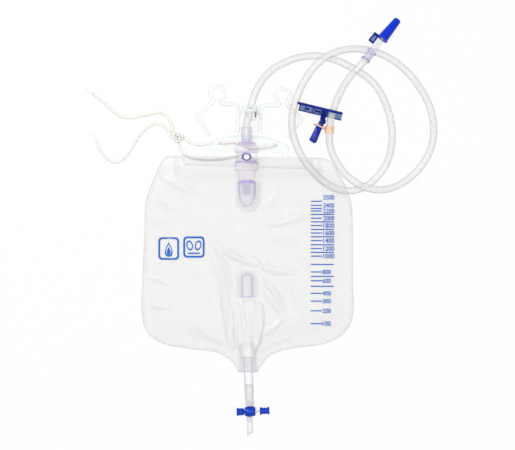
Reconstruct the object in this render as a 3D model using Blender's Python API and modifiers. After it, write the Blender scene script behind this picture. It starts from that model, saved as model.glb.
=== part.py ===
"""A two-litre urine drainage bag with its inlet tube, lying on its back on a table.

Everything is in metres. +X runs across the bag, +Y runs up the bag towards its hanger, and
+Z stands up from the table. The origin is on the table, under the middle of the bag with its
hanger and outlet. The routes of the cords and the creases of the film are in millimetres.
"""

import math

import bmesh
import bpy
from mathutils import Matrix, Vector
from mathutils.geometry import delaunay_2d_cdt

MM = 0.001
GAP = 0.0003  # between pieces that touch
SHARP_ANGLE = math.radians(35)  # edges sharper than this stay sharp in the shading

# Bag
BAG_WIDTH = 0.2365
BAG_HEIGHT = 0.2422
BAG_TOP_Y = 0.1172
FILM = 0.0003  # wall of each film
RIM_WIDTH = 0.0035  # welded band round the edge
PUFF = 0.0026  # how far the front film stands off the back film
PUFF_REACH = 0.034  # from the weld to where the film stands off fully
SEAT_Z = 0.0040  # top of the front film under the mouldings welded to it
CREASE_HEIGHT = 0.0012
CREASE_WIDTH = 0.0042
GATHER_PITCH = 0.0085
GATHER_HEIGHT = 0.0011
FILM_GRID = 0.0165  # spacing of the film's plain points
EDGE_STEP = 0.0105  # spacing of the points along the film's edge
NECK_EDGE_STEP = 0.0036
CREASE_SIDE = 1.5 * CREASE_WIDTH  # from a crease to the film's points beside it

# The bag's edges, from the top corner to the neck, as shares of half the width and of the height.
LEFT_EDGE = ((-0.762, 0.0), (-0.814, 0.029), (-0.889, 0.108), (-0.957, 0.200), (-0.975, 0.353),
             (-0.992, 0.560), (-1.0, 0.727), (-0.954, 0.814), (-0.820, 0.865), (-0.544, 0.892),
             (-0.260, 0.915), (-0.128, 0.962), (-0.090, 1.0))
RIGHT_EDGE = ((0.706, 0.009), (0.786, 0.025), (0.902, 0.112), (0.981, 0.210), (0.997, 0.394),
              (1.0, 0.597), (0.999, 0.743), (0.924, 0.816), (0.735, 0.868), (0.403, 0.893),
              (0.214, 0.925), (0.127, 0.974), (0.096, 1.0))

# Creases of the front film, in millimetres.
CREASES = (
    ((-37, 16), (-23, 7), (6, -4)),
    ((-37, 16), (-36, -5), (-27, -26), (-26, -46), (-22, -72), (-19, -100)),
    ((15, 49), (24, 42), (34, 42), (49, 45), (67, 52)),
    ((22, 62), (30, 69), (36, 79)),
    ((12, -5), (49, -13)),
    ((17, -20), (28, -31), (39, -59), (24, -78)),
    ((15, -104), (28, -92)),
    ((-108, -19), (-80, -28)),
    ((-108, -50), (-85, -53)),
    ((-92, 92), (-60, 74)),
    ((66, 0), (92, 28)),
)

# String
STRING_DIAMETER = 0.0034
STRING_REST_Z = STRING_DIAMETER / 2 + 0.0001
STRING_TIP_LENGTH = 0.010
STRING_TIP_WALL = 0.0004
KNOT_ROPE_RADIUS = 0.00135
KNOT_CENTRE = Vector((-0.0778, 0.1380))
KNOT_LENGTH = 0.0145
KNOT_WIDTH = 0.0115

# Hanger: one moulding whose base bar lies in the hem at the top of the bag
HANGER_PIVOT = Vector((0.0004, 0.1114))
HANGER_TILT = math.radians(-2.0)
PLATE = 0.0020  # thickness of the plate and the base bar
BAR_HALF_LENGTH = 0.0675
BAR_LOW = -0.0041
BAR_HIGH = 0.0033
LEG_OUTER = 0.0453
SLOT_HALF_LENGTH = 0.0386
SLOT_HIGH = 0.0105
PLATE_CROWN = ((0.0453, 0.0157), (0.0415, 0.0202), (0.0297, 0.0251), (0.0095, 0.0292))
PLATE_RIM = 0.0007
STRING_HOLE_U = 0.0303
STRING_HOLE_V = 0.0188
STRING_HOLE_RADIUS = 0.0027
POST_HALF_WIDTH = 0.0088
POST_BASE_V = 0.0255
POST_TOP_V = 0.0615
POST_THICKNESS = 0.0030
HEAD_LOW_V = 0.0460
HEAD_WALL_ABOVE_TUBE = 0.0016
TUBE_WAY_PAST = 0.0071  # the cut for the tube runs on past the post by this much
HOOK_ROD = 0.0044
HOOK_STEP = 0.0029
HOOK_LEG_U = 0.0125
WEB = 0.0010  # thickness of the web between the post and each hook's leg
WEB_INNER_U = 0.0075
WEB_LOW_V = 0.0515
WEB_HIGH_V = 0.0612
STRAP_LOW_V = 0.0545
STRAP_HIGH_V = 0.0592
HEAD_TUBE_Z = 0.0141  # height of the tube's middle in the head
SIDE_SLOT = (0.0062, 0.0485, 0.0076, 0.0585)  # slot at the head's right: its lower and upper corners
HOOK_ROUTE_MM = (
    (12.5, 31), (12.5, 46), (12.5, 57), (14.0, 61.2), (18, 62.7), (25, 62.7), (31, 63.2), (33, 66),
    (30.4, 69.6), (28.4, 74.5), (30.6, 80.0), (36.4, 82.2), (42.4, 80.0), (44.8, 75.1), (43.0, 69.8),
    (40.4, 66.4), (42.4, 63.4), (46.5, 59.8), (52, 54.6), (57, 49.9), (58.0, 48.2), (57.2, 46.2),
    (52, 39.4), (47, 32.6), (45.7, 29.2), (46.6, 25.4))

# Inlet: socket and drip chamber, held by the boot welded to the front film
INLET_X = -0.0009
CHAMBER_FRONT = 0.70  # the chamber is oval: its front and back, as shares of its half width
CHAMBER_BACK = 0.38
SOCKET_TOP_Y = 0.1484
SOCKET_LOW_Y = 0.1325
SOCKET_WALL = 0.0016
SOCKET_DEPTH = 0.0130
DRIP_NOZZLE_RADIUS = 0.0030
CAP_LOW_Y = 0.1201
CAP_RADIUS = 0.0133
CAP_WALL = 0.0013
BARREL_RADIUS = 0.0116
BARREL_WALL = 0.0012
CHAMBER_TOP_Y = 0.1245
SKIRT_TOP_Y = 0.1103
SKIRT_LOW_Y = 0.1010
CHAMBER_LOW_Y = 0.0893
SPIGOT_RADIUS = 0.0050
SPIGOT_LENGTH = 0.0042
VENT_Y = 0.1154
VENT_RADIUS = 0.0046
VENT_WALL = 0.0011
VENT_RISE = 0.0026
FILTER_THICKNESS = 0.0008
BOOT_TOP_Y = 0.0886
BOOT_LOW_Y = 0.0598
BOOT_HALF_WIDTH = 0.0102
BOOT_WALL = 0.0012
BOOT_FLANGE_X = 0.0010
BOOT_FLANGE_HALF_WIDTH = 0.0143
BOOT_FLANGE_LOW_Y = 0.0543
FLANGE = 0.0011
FLAP_HALF_WIDTH = 0.0050
FLAP_LENGTH = 0.0125
FLAP_THICKNESS = 0.0006
FLAP_DROOP = math.radians(14)
FILM_HOLE_RADIUS = 0.0050

# Spout pocket: the dock on the front film that the folded outlet is pushed into
POCKET_X = -0.0003
POCKET_TOP_Y = -0.0140
POCKET_MOUTH_Y = -0.0408
POCKET_HALF_WIDTH = 0.0067
POCKET_HEIGHT = 0.0086
POCKET_FLARE = 0.0009
POCKET_FLARE_LENGTH = 0.0045
POCKET_WALL = 0.0012
POCKET_FLANGE_HALF_WIDTH = 0.0118
POCKET_FLANGE_MARGIN = 0.0034

# Outlet: neck, sleeve, push-pull valve and spout, along one axis that leans a little
OUTLET_X = 0.0003
OUTLET_Y = BAG_TOP_Y - BAG_HEIGHT + 0.0170  # its neck starts between the films
OUTLET_LEAN = math.radians(2.5)
NECK_RADIUS = 0.0052
NECK_BORE = 0.0036
NECK_LENGTH = 0.0325
SLEEVE_END = 0.0527
SLEEVE_END_RADIUS = 0.0044
SLEEVE_BORE = 0.0029
SLEEVE_SPIGOT = 0.0085
SPIGOT_WALL = 0.0011
VALVE_AT = 0.0606  # down the outlet's axis
VALVE_RADIUS = 0.0057
VALVE_END_RADIUS = 0.0051
VALVE_HALF_LENGTH = 0.0059
VALVE_COLLAR = 0.0012  # the narrow stretch at each end of the barrel
VALVE_BORE = 0.0032
VALVE_WAY = 0.0014  # radius of the way that the urine takes
VALVE_WAY_X = -0.0009
VALVE_SPIGOT_RADIUS = 0.0025
VALVE_SPIGOT_LENGTH = 0.0060
SHAFT_RADIUS = 0.0028
STEM_RADIUS = 0.0014
SHAFT_HOLE = 0.0013  # cross hole that meets the way when the plunger is pushed left
SEAL_RADIUS = 0.00045
SEAL_CLEARANCE = 0.0002
SEAL_PLACES = (("valve_seal_left", -0.0040), ("valve_seal_right", 0.0017))
VALVE_TRAVEL = 0.0047
KNOB_RADIUS = 0.0041
KNOB_FLANGE = 0.0046
KNOB_LENGTH = 0.0088
KNOB_BORE_DEPTH = 0.0058
RIGHT_KNOB_RADIUS = 0.0036
RIGHT_KNOB_FLANGE = 0.0043
RIGHT_KNOB_LENGTH = 0.0108
SPOUT_RADIUS = 0.0033
SPOUT_BORE = 0.0025
SPOUT_LENGTH = 0.0214
SPOUT_SLANT = 0.0033

# Inlet tube
TUBE_DIAMETER = 0.0081
TUBE_STEP = 0.0150
TUBE_ROUTE_MM = (
    (-0.9, 135.6, 15.5), (-0.9, 142, 15.5), (-0.9, 149.5, 15.5), (0.9, 160, 14.6), (4.3, 173, 13.3),
    (8.5, 186.5, 11.7), (14, 197.5, 9.8), (22, 208, 7.8), (31, 215.5, 6.1), (41, 221, 4.8), (53.5, 226, 4.2),
    (66.5, 228.6, 4.15), (79, 228.8, 4.15), (90, 226.8, 4.15), (101, 223.2, 4.15), (115, 216.6, 4.15),
    (130.5, 207.5, 4.15), (143.5, 195.5, 4.15), (151.5, 182.5, 4.15), (157.5, 167, 4.15), (161.3, 150, 4.15),
    (161.8, 136, 4.15), (160, 122, 4.15), (155, 107.5, 4.15), (146, 94.5, 4.15), (136, 85.5, 4.2),
    (124, 79.5, 4.5), (110.5, 78, 5.6), (98, 81, 6.7), (87, 87, 7.5), (77.5, 95, 10.0), (68.5, 105, 12.2),
    (61.5, 115, 12.2), (55.5, 126.5, 12.2), (51.2, 139.5, 12.2), (49.5, 152.5, 12.2), (50.2, 165, 12.2),
    (52.7, 174.5, 12.1), (57, 186.5, 11.2), (63, 199.5, 10.8), (71, 211.5, 11.5), (79.5, 220.8, 12.5),
    (88, 227.3, 12.9), (97, 231.8, 12.3), (107, 235, 10.3), (117, 236.5, 7.8), (127, 236.3, 5.6),
    (137.5, 234.5, 4.4), (147.5, 231.5, 4.15), (157, 227.3, 4.15), (166, 221.8, 4.15), (175.5, 214, 4.15),
    (185, 204, 4.15), (194, 191.3, 4.15), (200.5, 180, 4.15), (205, 168.5, 4.15), (207.7, 156.5, 4.15),
    (208.3, 145, 4.15), (207.3, 134.5, 4.15), (204.5, 124, 4.15), (199.3, 113, 4.15), (190, 100.5, 4.2),
    (178, 89.8, 4.6), (164.5, 82.3, 6.4), (150.5, 79, 9.7), (138, 79.8, 12.5), (127.5, 83.3, 12.7),
    (118, 89, 10.0), (109.5, 96.5, 7.0), (101.8, 106.8, 5.4), (95.8, 117.8, 4.8), (92.5, 128, 4.8),
    (91.5, 138.5, 5.8), (92, 150.5, 7.1), (94, 162, 7.9), (97.2, 172, 8.3), (102, 184, 9.9),
    (108.8, 197, 12.9), (117, 208.2, 16.1), (124.2, 215.6, 17.7))

# Connector and its push-on cap at the tube's far end; the connector's axis is the tube's last stretch
CONNECTOR_START = Vector((0.1310, 0.2232, 0.01685))
CONNECTOR_HEADING = math.radians(51.07)  # from +X towards +Y
CONNECTOR_DIP = math.radians(11.9)
CONNECTOR_SLEEVE_RADIUS = 0.0050
CONNECTOR_FLANGE = 0.0057
CONNECTOR_FLANGE_WIDTH = 0.0014
CONNECTOR_SLEEVE = 0.0128
CONNECTOR_SOCKET = 0.0095
NOZZLE_ROOT = 0.0046
NOZZLE_TIP = 0.0023
NOZZLE_END = 0.0490
NOZZLE_BORE = 0.0015
CAP_START = 0.0314
CAP_LENGTH = 0.0291
CAP_ROOT_RADIUS = 0.0059
CAP_TIP_RADIUS = 0.0042
CAP_FLANGE_RADIUS = 0.0067
CAP_FLANGE_WIDTH = 0.0014
CAP_BORE_ROOT = 0.0043
CAP_BORE_TIP = 0.0030
CAP_LUG_LENGTH = 0.0110
CAP_LUG_WIDTH = 0.0070
CAP_LUG_THICKNESS = 0.0026
CAP_LUG_WALL = 0.0016

# Sheet clip: two levers on one pin, with the inlet tube between their jaws
CLIP_ORIGIN = Vector((0.0818, 0.1710, 0.0))
CLIP_TURN = math.radians(-13.1)
CLIP_ROLL = math.radians(8.0)
CLIP_LIFT = 0.0039  # height of the jaws' middle over the table
JAW_HALF_LENGTH = 0.0258
JAW_PLATE = 0.0015
JAW_PLATE_WIDTH = 0.0090
JAW_LIP_WIDTH = 0.0030
JAW_LIP_HEIGHT = 0.0034
JAW_LIP_SHIFT = -0.0026  # the front jaw lies this far to the left of the back one
JAW_MOUTH = TUBE_DIAMETER + 0.0010
JAW_RIB = 0.0008  # height and width of the ribs that grip the sheet
JAW_RIB_PLACES = (-0.0236, -0.0172, -0.0088, -0.0066, 0.0016)  # cross ribs, along the jaw
CLIP_NECK_U = 0.0052
CLIP_NECK_WIDTH = 0.0060
CLIP_PIN_V = -0.0148
CLIP_PIN_W = 0.0058
CLIP_PIN_RADIUS = 0.0011
CLIP_EAR = 0.0012
CLIP_BARREL_RADIUS = 0.0027
HANDLE_WIDTH = 0.0056
HANDLE_LENGTH = 0.0258
HANDLE_CORNER = 0.0016
HANDLE_SKEW = math.radians(-11.5)
HANDLE_SHIFT = -0.0014  # the handles start a little beside the neck
HANDLE_APART = 0.0011  # the front handle leans to the left and the back one to the right
HANDLE_THICKNESS = 0.0021
HANDLE_DISH = 0.0007  # depth of the thumb rest in the front handle
HANDLE_RIM = 0.0009
HANDLE_START = 0.0042  # from the pin to where the front handle is clear of the back lever's ears
HANDLE_RAISE = 0.0012  # the front handle's middle over the pin
SPRING_LEAF = 0.0005
SPRING_LENGTH = 0.0080
SPRING_RISE = 0.0008
SPRING_WIDTH = 0.0036

# Rubber band between the tube and the clip's neck
BAND_RADIUS = 0.0010
BAND_RING_LENGTH = 0.0080
BAND_RING_WALL = 0.0013
BAND_RING_Y = 0.1462

# String routes, in millimetres, from the knot outwards
TAIL_A_MM = ((-82.9, 142.8), (-84.2, 150), (-87, 156.5), (-91.5, 163), (-98.5, 166), (-108, 164.2),
             (-120.5, 161.5), (-132.5, 159.8), (-140.5, 161.2), (-148.5, 165.8), (-158, 174.5),
             (-166, 181.2), (-173.4, 187))
TAIL_B_MM = ((-85.0, 137.5), (-88.2, 144.5), (-94, 150.6), (-101.5, 153.2), (-109, 151), (-116, 145.8),
             (-122.5, 137.8), (-129.5, 126.5), (-135.3, 117.6), (-142.5, 111.3), (-150.5, 110.7),
             (-159, 116), (-165.8, 124.8), (-170.2, 134.2))
LEFT_STRAND_MM = ((-70.7, 136.7), (-64.5, 132.3), (-56, 129.7), (-47, 130.2), (-36.2, 131.2))
RIGHT_STRAND_MM = ((-77.5, 132.4), (-75, 125), (-71, 119.6), (-63, 115), (-47.5, 112.5), (-28.5, 113.4),
                   (-13, 116.9), (-0.5, 122), (12, 126.6), (26, 128.9))


def clear_scene():
    """Removes whatever the file holds."""
    for obj in list(bpy.data.objects):
        bpy.data.objects.remove(obj, do_unlink=True)


def new_collection(name):
    """A collection of this name under the scene's own."""
    collection = bpy.data.collections.new(name)
    bpy.context.scene.collection.children.link(collection)
    return collection


def plastic(name, colour, roughness=0.3, alpha=1.0, metallic=0.0):
    """A Principled material in this colour."""
    material = bpy.data.materials.new(name)
    material.use_nodes = True
    shader = material.node_tree.nodes["Principled BSDF"]
    shader.inputs["Base Color"].default_value = (*colour, 1)
    shader.inputs["Roughness"].default_value = roughness
    shader.inputs["Metallic"].default_value = metallic
    shader.inputs["Alpha"].default_value = alpha
    material.diffuse_color = (*colour, alpha)
    return material


def place(obj, collection, material=None, parent=None):
    """Links an object, gives it its material and hangs it on its parent."""
    collection.objects.link(obj)
    if material:
        obj.data.materials.append(material)
    obj.parent = parent
    return obj


def empty(name, matrix, parent=None):
    """An empty that carries a group of pieces."""
    obj = bpy.data.objects.new(name, None)
    PARTS.objects.link(obj)
    obj.parent = parent
    obj.matrix_local = matrix
    obj.empty_display_size = 0.01
    return obj


def baked(obj):
    """Turns an object with live modifiers, or a curve, into a closed mesh of the same name and place."""
    bpy.context.view_layer.update()
    graph = bpy.context.evaluated_depsgraph_get()
    mesh = bpy.data.meshes.new_from_object(obj.evaluated_get(graph))
    body = bmesh.new()
    body.from_mesh(mesh)
    bmesh.ops.remove_doubles(body, verts=body.verts, dist=1e-6)
    bmesh.ops.recalc_face_normals(body, faces=body.faces)
    body.to_mesh(mesh)
    body.free()
    mesh.shade_smooth()
    mesh.set_sharp_from_angle(angle=SHARP_ANGLE)
    name, parent, local = obj.name, obj.parent, obj.matrix_local.copy()
    collections = list(obj.users_collection)
    bpy.data.objects.remove(obj, do_unlink=True)
    made = bpy.data.objects.new(name, mesh)
    for collection in collections:
        collection.objects.link(made)
    made.parent = parent
    made.matrix_local = local
    return made


def as_tool(obj):
    """Moves an object to the cutters, where no render shows it."""
    for collection in list(obj.users_collection):
        collection.objects.unlink(obj)
    TOOLS.objects.link(obj)
    obj.hide_render = True
    obj.display_type = "WIRE"
    return obj


def combine(target, other, operation):
    """Adds an exact Boolean of target with other, which becomes a tool."""
    modifier = target.modifiers.new(operation.lower(), "BOOLEAN")
    modifier.operation = operation
    modifier.solver = "EXACT"
    modifier.object = as_tool(other)
    return target


def turned(name, profile, origin, direction, material, steps=16, parent=None):
    """A piece turned on a lathe.

    profile is the closed outline of its section as (radius, distance along the axis), and
    direction the way that distance runs from origin.
    """
    mesh = bpy.data.meshes.new(name)
    points = [(radius, 0, along) for radius, along in profile]
    pairs = [(i, (i + 1) % len(points)) for i in range(len(points))]
    edges = [(i, j) for i, j in pairs if profile[i][0] or profile[j][0]]
    mesh.from_pydata(points, edges, [])
    obj = place(bpy.data.objects.new(name, mesh), PARTS, material, parent)
    screw = obj.modifiers.new("turn", "SCREW")
    screw.steps = steps
    screw.render_steps = steps
    screw.use_merge_vertices = True
    screw.merge_threshold = 1e-6
    obj.location = origin
    obj.rotation_euler = Vector((0, 0, 1)).rotation_difference(Vector(direction)).to_euler()
    return baked(obj)


def slab(name, outlines, low, high, material, parent=None):
    """A flat plate between two heights, whose inner outlines are its holes."""
    curve = bpy.data.curves.new(name, "CURVE")
    curve.dimensions = "2D"
    curve.fill_mode = "BOTH"
    curve.extrude = (high - low) / 2
    for outline in outlines:
        spline = curve.splines.new("POLY")
        spline.points.add(len(outline) - 1)
        for point, (x, y) in zip(spline.points, outline):
            point.co = (x, y, 0, 1)
        spline.use_cyclic_u = True
    obj = place(bpy.data.objects.new(name, curve), PARTS, material, parent)
    obj.location.z = (low + high) / 2
    return baked(obj)


def block(name, low, high, material, parent=None):
    """A box between two corners."""
    bpy.ops.mesh.primitive_cube_add(size=1)
    obj = bpy.context.object
    obj.name = name
    for collection in list(obj.users_collection):
        collection.objects.unlink(obj)
    low, high = Vector(low), Vector(high)
    size = high - low
    obj.data.transform(Matrix.Translation((low + high) / 2) @ Matrix.Diagonal((*size, 1)))
    return place(obj, PARTS, material, parent)


def circle(x, y, radius, count=16):
    """A ring of points."""
    turn = 2 * math.pi / count
    return [(x + radius * math.cos(i * turn), y + radius * math.sin(i * turn)) for i in range(count)]


def smooth_path(route, step):
    """Points at even steps along the centripetal Catmull-Rom curve through a route."""
    route = [Vector(point) for point in route]
    ends = [2 * route[0] - route[1], *route, 2 * route[-1] - route[-2]]
    dense = []
    for a, b, c, d in zip(ends, ends[1:], ends[2:], ends[3:]):
        t1 = max((b - a).length, 1e-9) ** 0.5
        t2 = t1 + max((c - b).length, 1e-9) ** 0.5
        t3 = t2 + max((d - c).length, 1e-9) ** 0.5
        for i in range(12):
            t = t1 + (t2 - t1) * i / 12
            ab = a.lerp(b, t / t1)
            bc = b.lerp(c, (t - t1) / (t2 - t1))
            cd = c.lerp(d, (t - t2) / (t3 - t2))
            dense.append(ab.lerp(bc, t / t2).lerp(bc.lerp(cd, (t - t1) / (t3 - t1)), (t - t1) / (t2 - t1)))
    dense.append(route[-1])
    lengths = [0.0]
    for a, b in zip(dense, dense[1:]):
        lengths.append(lengths[-1] + (b - a).length)
    count = max(2, round(lengths[-1] / step))
    points, at = [], 0
    for i in range(count + 1):
        wanted = lengths[-1] * i / count
        while at < len(lengths) - 2 and lengths[at + 1] < wanted:
            at += 1
        share = (wanted - lengths[at]) / max(lengths[at + 1] - lengths[at], 1e-9)
        points.append(dense[at].lerp(dense[at + 1], min(max(share, 0), 1)))
    return points


def rod(name, points, radius, material, parent=None, resolution=2, cyclic=False):
    """A round bar along points."""
    curve = bpy.data.curves.new(name, "CURVE")
    curve.dimensions = "3D"
    curve.bevel_depth = radius
    curve.bevel_resolution = resolution
    curve.use_fill_caps = not cyclic
    spline = curve.splines.new("POLY")
    spline.points.add(len(points) - 1)
    for point, place_at in zip(spline.points, points):
        point.co = (*place_at, 1)
    spline.use_cyclic_u = cyclic
    return place(bpy.data.objects.new(name, curve), PARTS, material, parent)


def smooth01(value):
    """0 below 0, 1 above 1, and smooth between."""
    value = min(max(value, 0.0), 1.0)
    return value * value * (3 - 2 * value)


# The film

def outline_points():
    """The bag's outline, anticlockwise from the neck's right end, at even steps."""
    def at(point):
        return (point[0] * BAG_WIDTH / 2, BAG_TOP_Y - point[1] * BAG_HEIGHT)

    right = smooth_path([at(p) for p in reversed(RIGHT_EDGE)], EDGE_STEP)
    left = smooth_path([at(p) for p in LEFT_EDGE], EDGE_STEP)
    top = smooth_path([right[-1], left[0]], EDGE_STEP)[1:-1]
    neck = smooth_path([left[-1], right[0]], NECK_EDGE_STEP)[1:-1]
    return [Vector(p) for p in right + top + left + neck]


def edge_distance(x, y, outline):
    """How far a point lies inside the outline; negative outside."""
    here = Vector((x, y))
    best, inside = 1e9, False
    for a, b in zip(outline, outline[1:] + outline[:1]):
        along = b - a
        share = min(max((here - a).dot(along) / along.length_squared, 0), 1)
        best = min(best, (here - a - share * along).length)
        if (a.y > y) != (b.y > y) and x < a.x + (y - a.y) * (b.x - a.x) / (b.y - a.y):
            inside = not inside
    return best if inside else -best


def hanger_coordinates(x, y):
    """Across and up, in the hanger's own frame."""
    offset = Vector((x, y)) - HANGER_PIVOT
    cos, sin = math.cos(HANGER_TILT), math.sin(HANGER_TILT)
    return offset.x * cos + offset.y * sin, -offset.x * sin + offset.y * cos


HEM_LIFT = STRING_REST_Z + STRING_DIAMETER / 2 + GAP
HANGER_Z = HEM_LIFT + FILM + GAP
HANGER_TOP = HANGER_Z + PLATE
INLET_Z = HANGER_TOP + GAP + STRING_DIAMETER + GAP + CAP_RADIUS * CHAMBER_BACK + 0.0001
HEM_FULL_Y = 0.1025
HEM_START_Y = 0.0840
HEM_SIDE = 0.0050  # past the base bar's end to where the hem lies at its full height
HEM_SIDE_FALL = 0.0135
HEM_WELD_V = -0.0076
OUTLET_Z = VALVE_RADIUS + GAP

# Rows of the film's points round the outlet's neck: place above the neck's top, pitch, points each way.
NECK_ROWS = ((-0.011, 0.0024, 3), (-0.004, 0.0024, 4), (0.004, 0.0028, 5), (0.012, 0.0028, 5))

# Where the mouldings welded to the film sit: middle, half width, lower and upper edge.
SEATS = (
    (BOOT_FLANGE_X, BOOT_FLANGE_HALF_WIDTH, BOOT_FLANGE_LOW_Y, BOOT_TOP_Y),
    (POCKET_X, POCKET_FLANGE_HALF_WIDTH, POCKET_MOUTH_Y, POCKET_TOP_Y + POCKET_FLANGE_MARGIN),
)


def back_height(x, y):
    """Underside of the back film: on the table, and lifted at the hem by the string beneath it."""
    reach = BAR_HALF_LENGTH + HEM_SIDE + HEM_SIDE_FALL
    side = smooth01((reach - abs(x - HANGER_PIVOT.x)) / HEM_SIDE_FALL)
    return HEM_LIFT * side * smooth01((y - HEM_START_Y) / (HEM_FULL_Y - HEM_START_Y))


def crease_height(x, y):
    """The ridges of the film's creases."""
    here = Vector((x, y))
    height = 0.0
    for crease in CREASES:
        points = [Vector(p) * MM for p in crease]
        best = 1e9
        for a, b in zip(points, points[1:]):
            along = b - a
            share = min(max((here - a).dot(along) / along.length_squared, 0), 1)
            best = min(best, (here - a - share * along).length)
        height = max(height, CREASE_HEIGHT * math.exp(-((best / CREASE_WIDTH) ** 2)))
    return height


def seat_share(x, y):
    """1 under the mouldings welded to the film, falling to 0 around them."""
    best = 0.0
    for middle, half, low, high in SEATS:
        aside = max(abs(x - middle) - half - 0.002, low - 0.002 - y, y - high - 0.002, 0)
        best = max(best, 1 - smooth01(aside / 0.010))
    return best


def neck_height(x, y):
    """How far the film stands up over the outlet's neck."""
    middle = OUTLET_X + (OUTLET_Y - y) * math.tan(OUTLET_LEAN)
    rise = OUTLET_Z + NECK_RADIUS + GAP - FILM + 0.0002
    across = math.exp(-(((x - middle) / (1.38 * NECK_RADIUS)) ** 4))
    return rise * across * smooth01((OUTLET_Y + 0.022 - y) / 0.019)


def front_height(x, y, outline):
    """Top of the front film."""
    together = back_height(x, y) + 2 * FILM + GAP
    across, up = hanger_coordinates(x, y)
    bar = smooth01((BAR_HALF_LENGTH + 0.006 - abs(across)) / 0.004)
    bar *= smooth01((up - HEM_WELD_V) / (BAR_LOW - 0.0009 - HEM_WELD_V))
    height = together + bar * (PLATE + 2 * GAP)
    if up > HEM_WELD_V:
        return height
    inside = edge_distance(x, y, outline) - RIM_WIDTH
    puff = smooth01(inside / PUFF_REACH) * smooth01((HEM_WELD_V - 0.002 - up) / 0.014)
    gather = math.cos(2 * math.pi * (x - OUTLET_X) / GATHER_PITCH)
    gather *= smooth01((POCKET_MOUTH_Y - 0.008 - y) / 0.012) * smooth01((y - OUTLET_Y - 0.010) / 0.012)
    gather *= smooth01((0.0155 - abs(x - OUTLET_X)) / 0.006) * GATHER_HEIGHT
    crease = crease_height(x, y) * smooth01(inside / 0.006)
    seat = seat_share(x, y)
    free = height + PUFF * puff + (gather + crease) * smooth01(puff * 3) + neck_height(x, y)
    return free + seat * (SEAT_Z - free)


def film_grid(outline, fine):
    """Points inside the outline: the weld's inner edge, the hem, the creases and the plain film.

    Both films share the points at the hem, so that one follows the other there. Below it the back
    film is flat and has only a few.
    """
    points = []

    def add(x, y, clear, low=None):
        if not fine and y < (HEM_START_Y - 0.008 if low is None else low):
            return
        if edge_distance(x, y, outline) < RIM_WIDTH * 0.8:
            return
        if all((p[0] - x) ** 2 + (p[1] - y) ** 2 > clear * clear for p in points):
            points.append((x, y))

    cos, sin = math.cos(HANGER_TILT), math.sin(HANGER_TILT)
    for up in (BAR_LOW - 0.0009, HEM_WELD_V, HEM_WELD_V - 0.0024, BAR_HIGH - 0.0006):
        for i in range(-7, 8):
            across = i * (BAR_HALF_LENGTH + 0.002) / 7
            add(HANGER_PIVOT.x + across * cos - up * sin, HANGER_PIVOT.y + across * sin + up * cos, 0.002)
    for rise, pitch, each_way in NECK_ROWS:
        for i in range(-each_way, each_way + 1):
            add(OUTLET_X + i * pitch, OUTLET_Y + rise, 0.0015)
    for row in range(5):
        for i in range(-3, 4):
            add(OUTLET_X + i * GATHER_PITCH / 2, OUTLET_Y + 0.021 + row * 0.0095, 0.0015)
    for i, point in enumerate(outline):
        along = outline[(i + 1) % len(outline)] - outline[i - 1]
        inward = Vector((-along.y, along.x)).normalized()
        add(*(point + inward * RIM_WIDTH), 0.0030)
    for middle, half, low, high in SEATS:
        for x in (middle - half - 0.002, middle, middle + half + 0.002):
            for y in (low - 0.002, (low + high) / 2, high + 0.002):
                add(x, y, 0.003)
    for crease in CREASES:
        path = smooth_path([Vector(p) * MM for p in crease], EDGE_STEP)
        for a, b in zip(path, path[1:] + [2 * path[-1] - path[-2]]):
            side = Vector((a.y - b.y, b.x - a.x)).normalized() * CREASE_SIDE
            for shift in (0, 1, -1):
                add(*(a + side * shift), 0.0032)
    for y in (HEM_FULL_Y, (HEM_FULL_Y + HEM_START_Y) / 2, HEM_START_Y):
        for i in range(-6, 7):
            add(HANGER_PIVOT.x + i * (BAR_HALF_LENGTH + HEM_SIDE) / 6, y, 0.005)
    rows = int(BAG_HEIGHT / FILM_GRID) + 1
    for row in range(rows):
        for column in range(-rows, rows + 1):
            x = (column + 0.5 * (row % 2)) * FILM_GRID
            if abs(x) < BAG_WIDTH / 2:
                plain = -BAG_HEIGHT if row % 2 == 0 and column % 2 == 0 else None
                add(x, BAG_TOP_Y - row * FILM_GRID, FILM_GRID * 0.55, plain)
    return points


def film(name, height, outline, fine, material, top):
    """A film over the outline, whose top or underside lies at the given height."""
    points = [tuple(p) for p in outline] + film_grid(outline, fine)
    count = len(outline)
    edges = [(i, (i + 1) % count) for i in range(count)]
    points, _, faces, *_ = delaunay_2d_cdt([Vector(p) for p in points], edges, [], 1, 1e-7)
    mesh = bpy.data.meshes.new(name)
    mesh.from_pydata([(p.x, p.y, height(p.x, p.y)) for p in points], [], faces)
    obj = place(bpy.data.objects.new(name, mesh), PARTS, material)
    wall = obj.modifiers.new("wall", "SOLIDIFY")
    wall.thickness = FILM
    wall.offset = -1 if top else 1
    return baked(obj)


def make_films():
    outline = outline_points()
    film("back_film", back_height, outline, False, CLEAR_FILM, top=False)

    def front_top(x, y):
        return front_height(x, y, outline)

    front = film("front_film", front_top, outline, True, CLEAR_FILM, top=True)
    hole = turned("film_hole", ((0, 0), (FILM_HOLE_RADIUS, 0), (FILM_HOLE_RADIUS, 0.01), (0, 0.01)),
                  (INLET_X, (BOOT_TOP_Y + BOOT_LOW_Y) / 2, SEAT_Z - 0.005), (0, 0, 1), None, 12)
    combine(front, hole, "DIFFERENCE")


# The hanger

def hanger_frame():
    """The hanger's own frame: across it, and up towards its hooks."""
    return Matrix.Translation((*HANGER_PIVOT, 0)) @ Matrix.Rotation(HANGER_TILT, 4, "Z")


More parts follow.
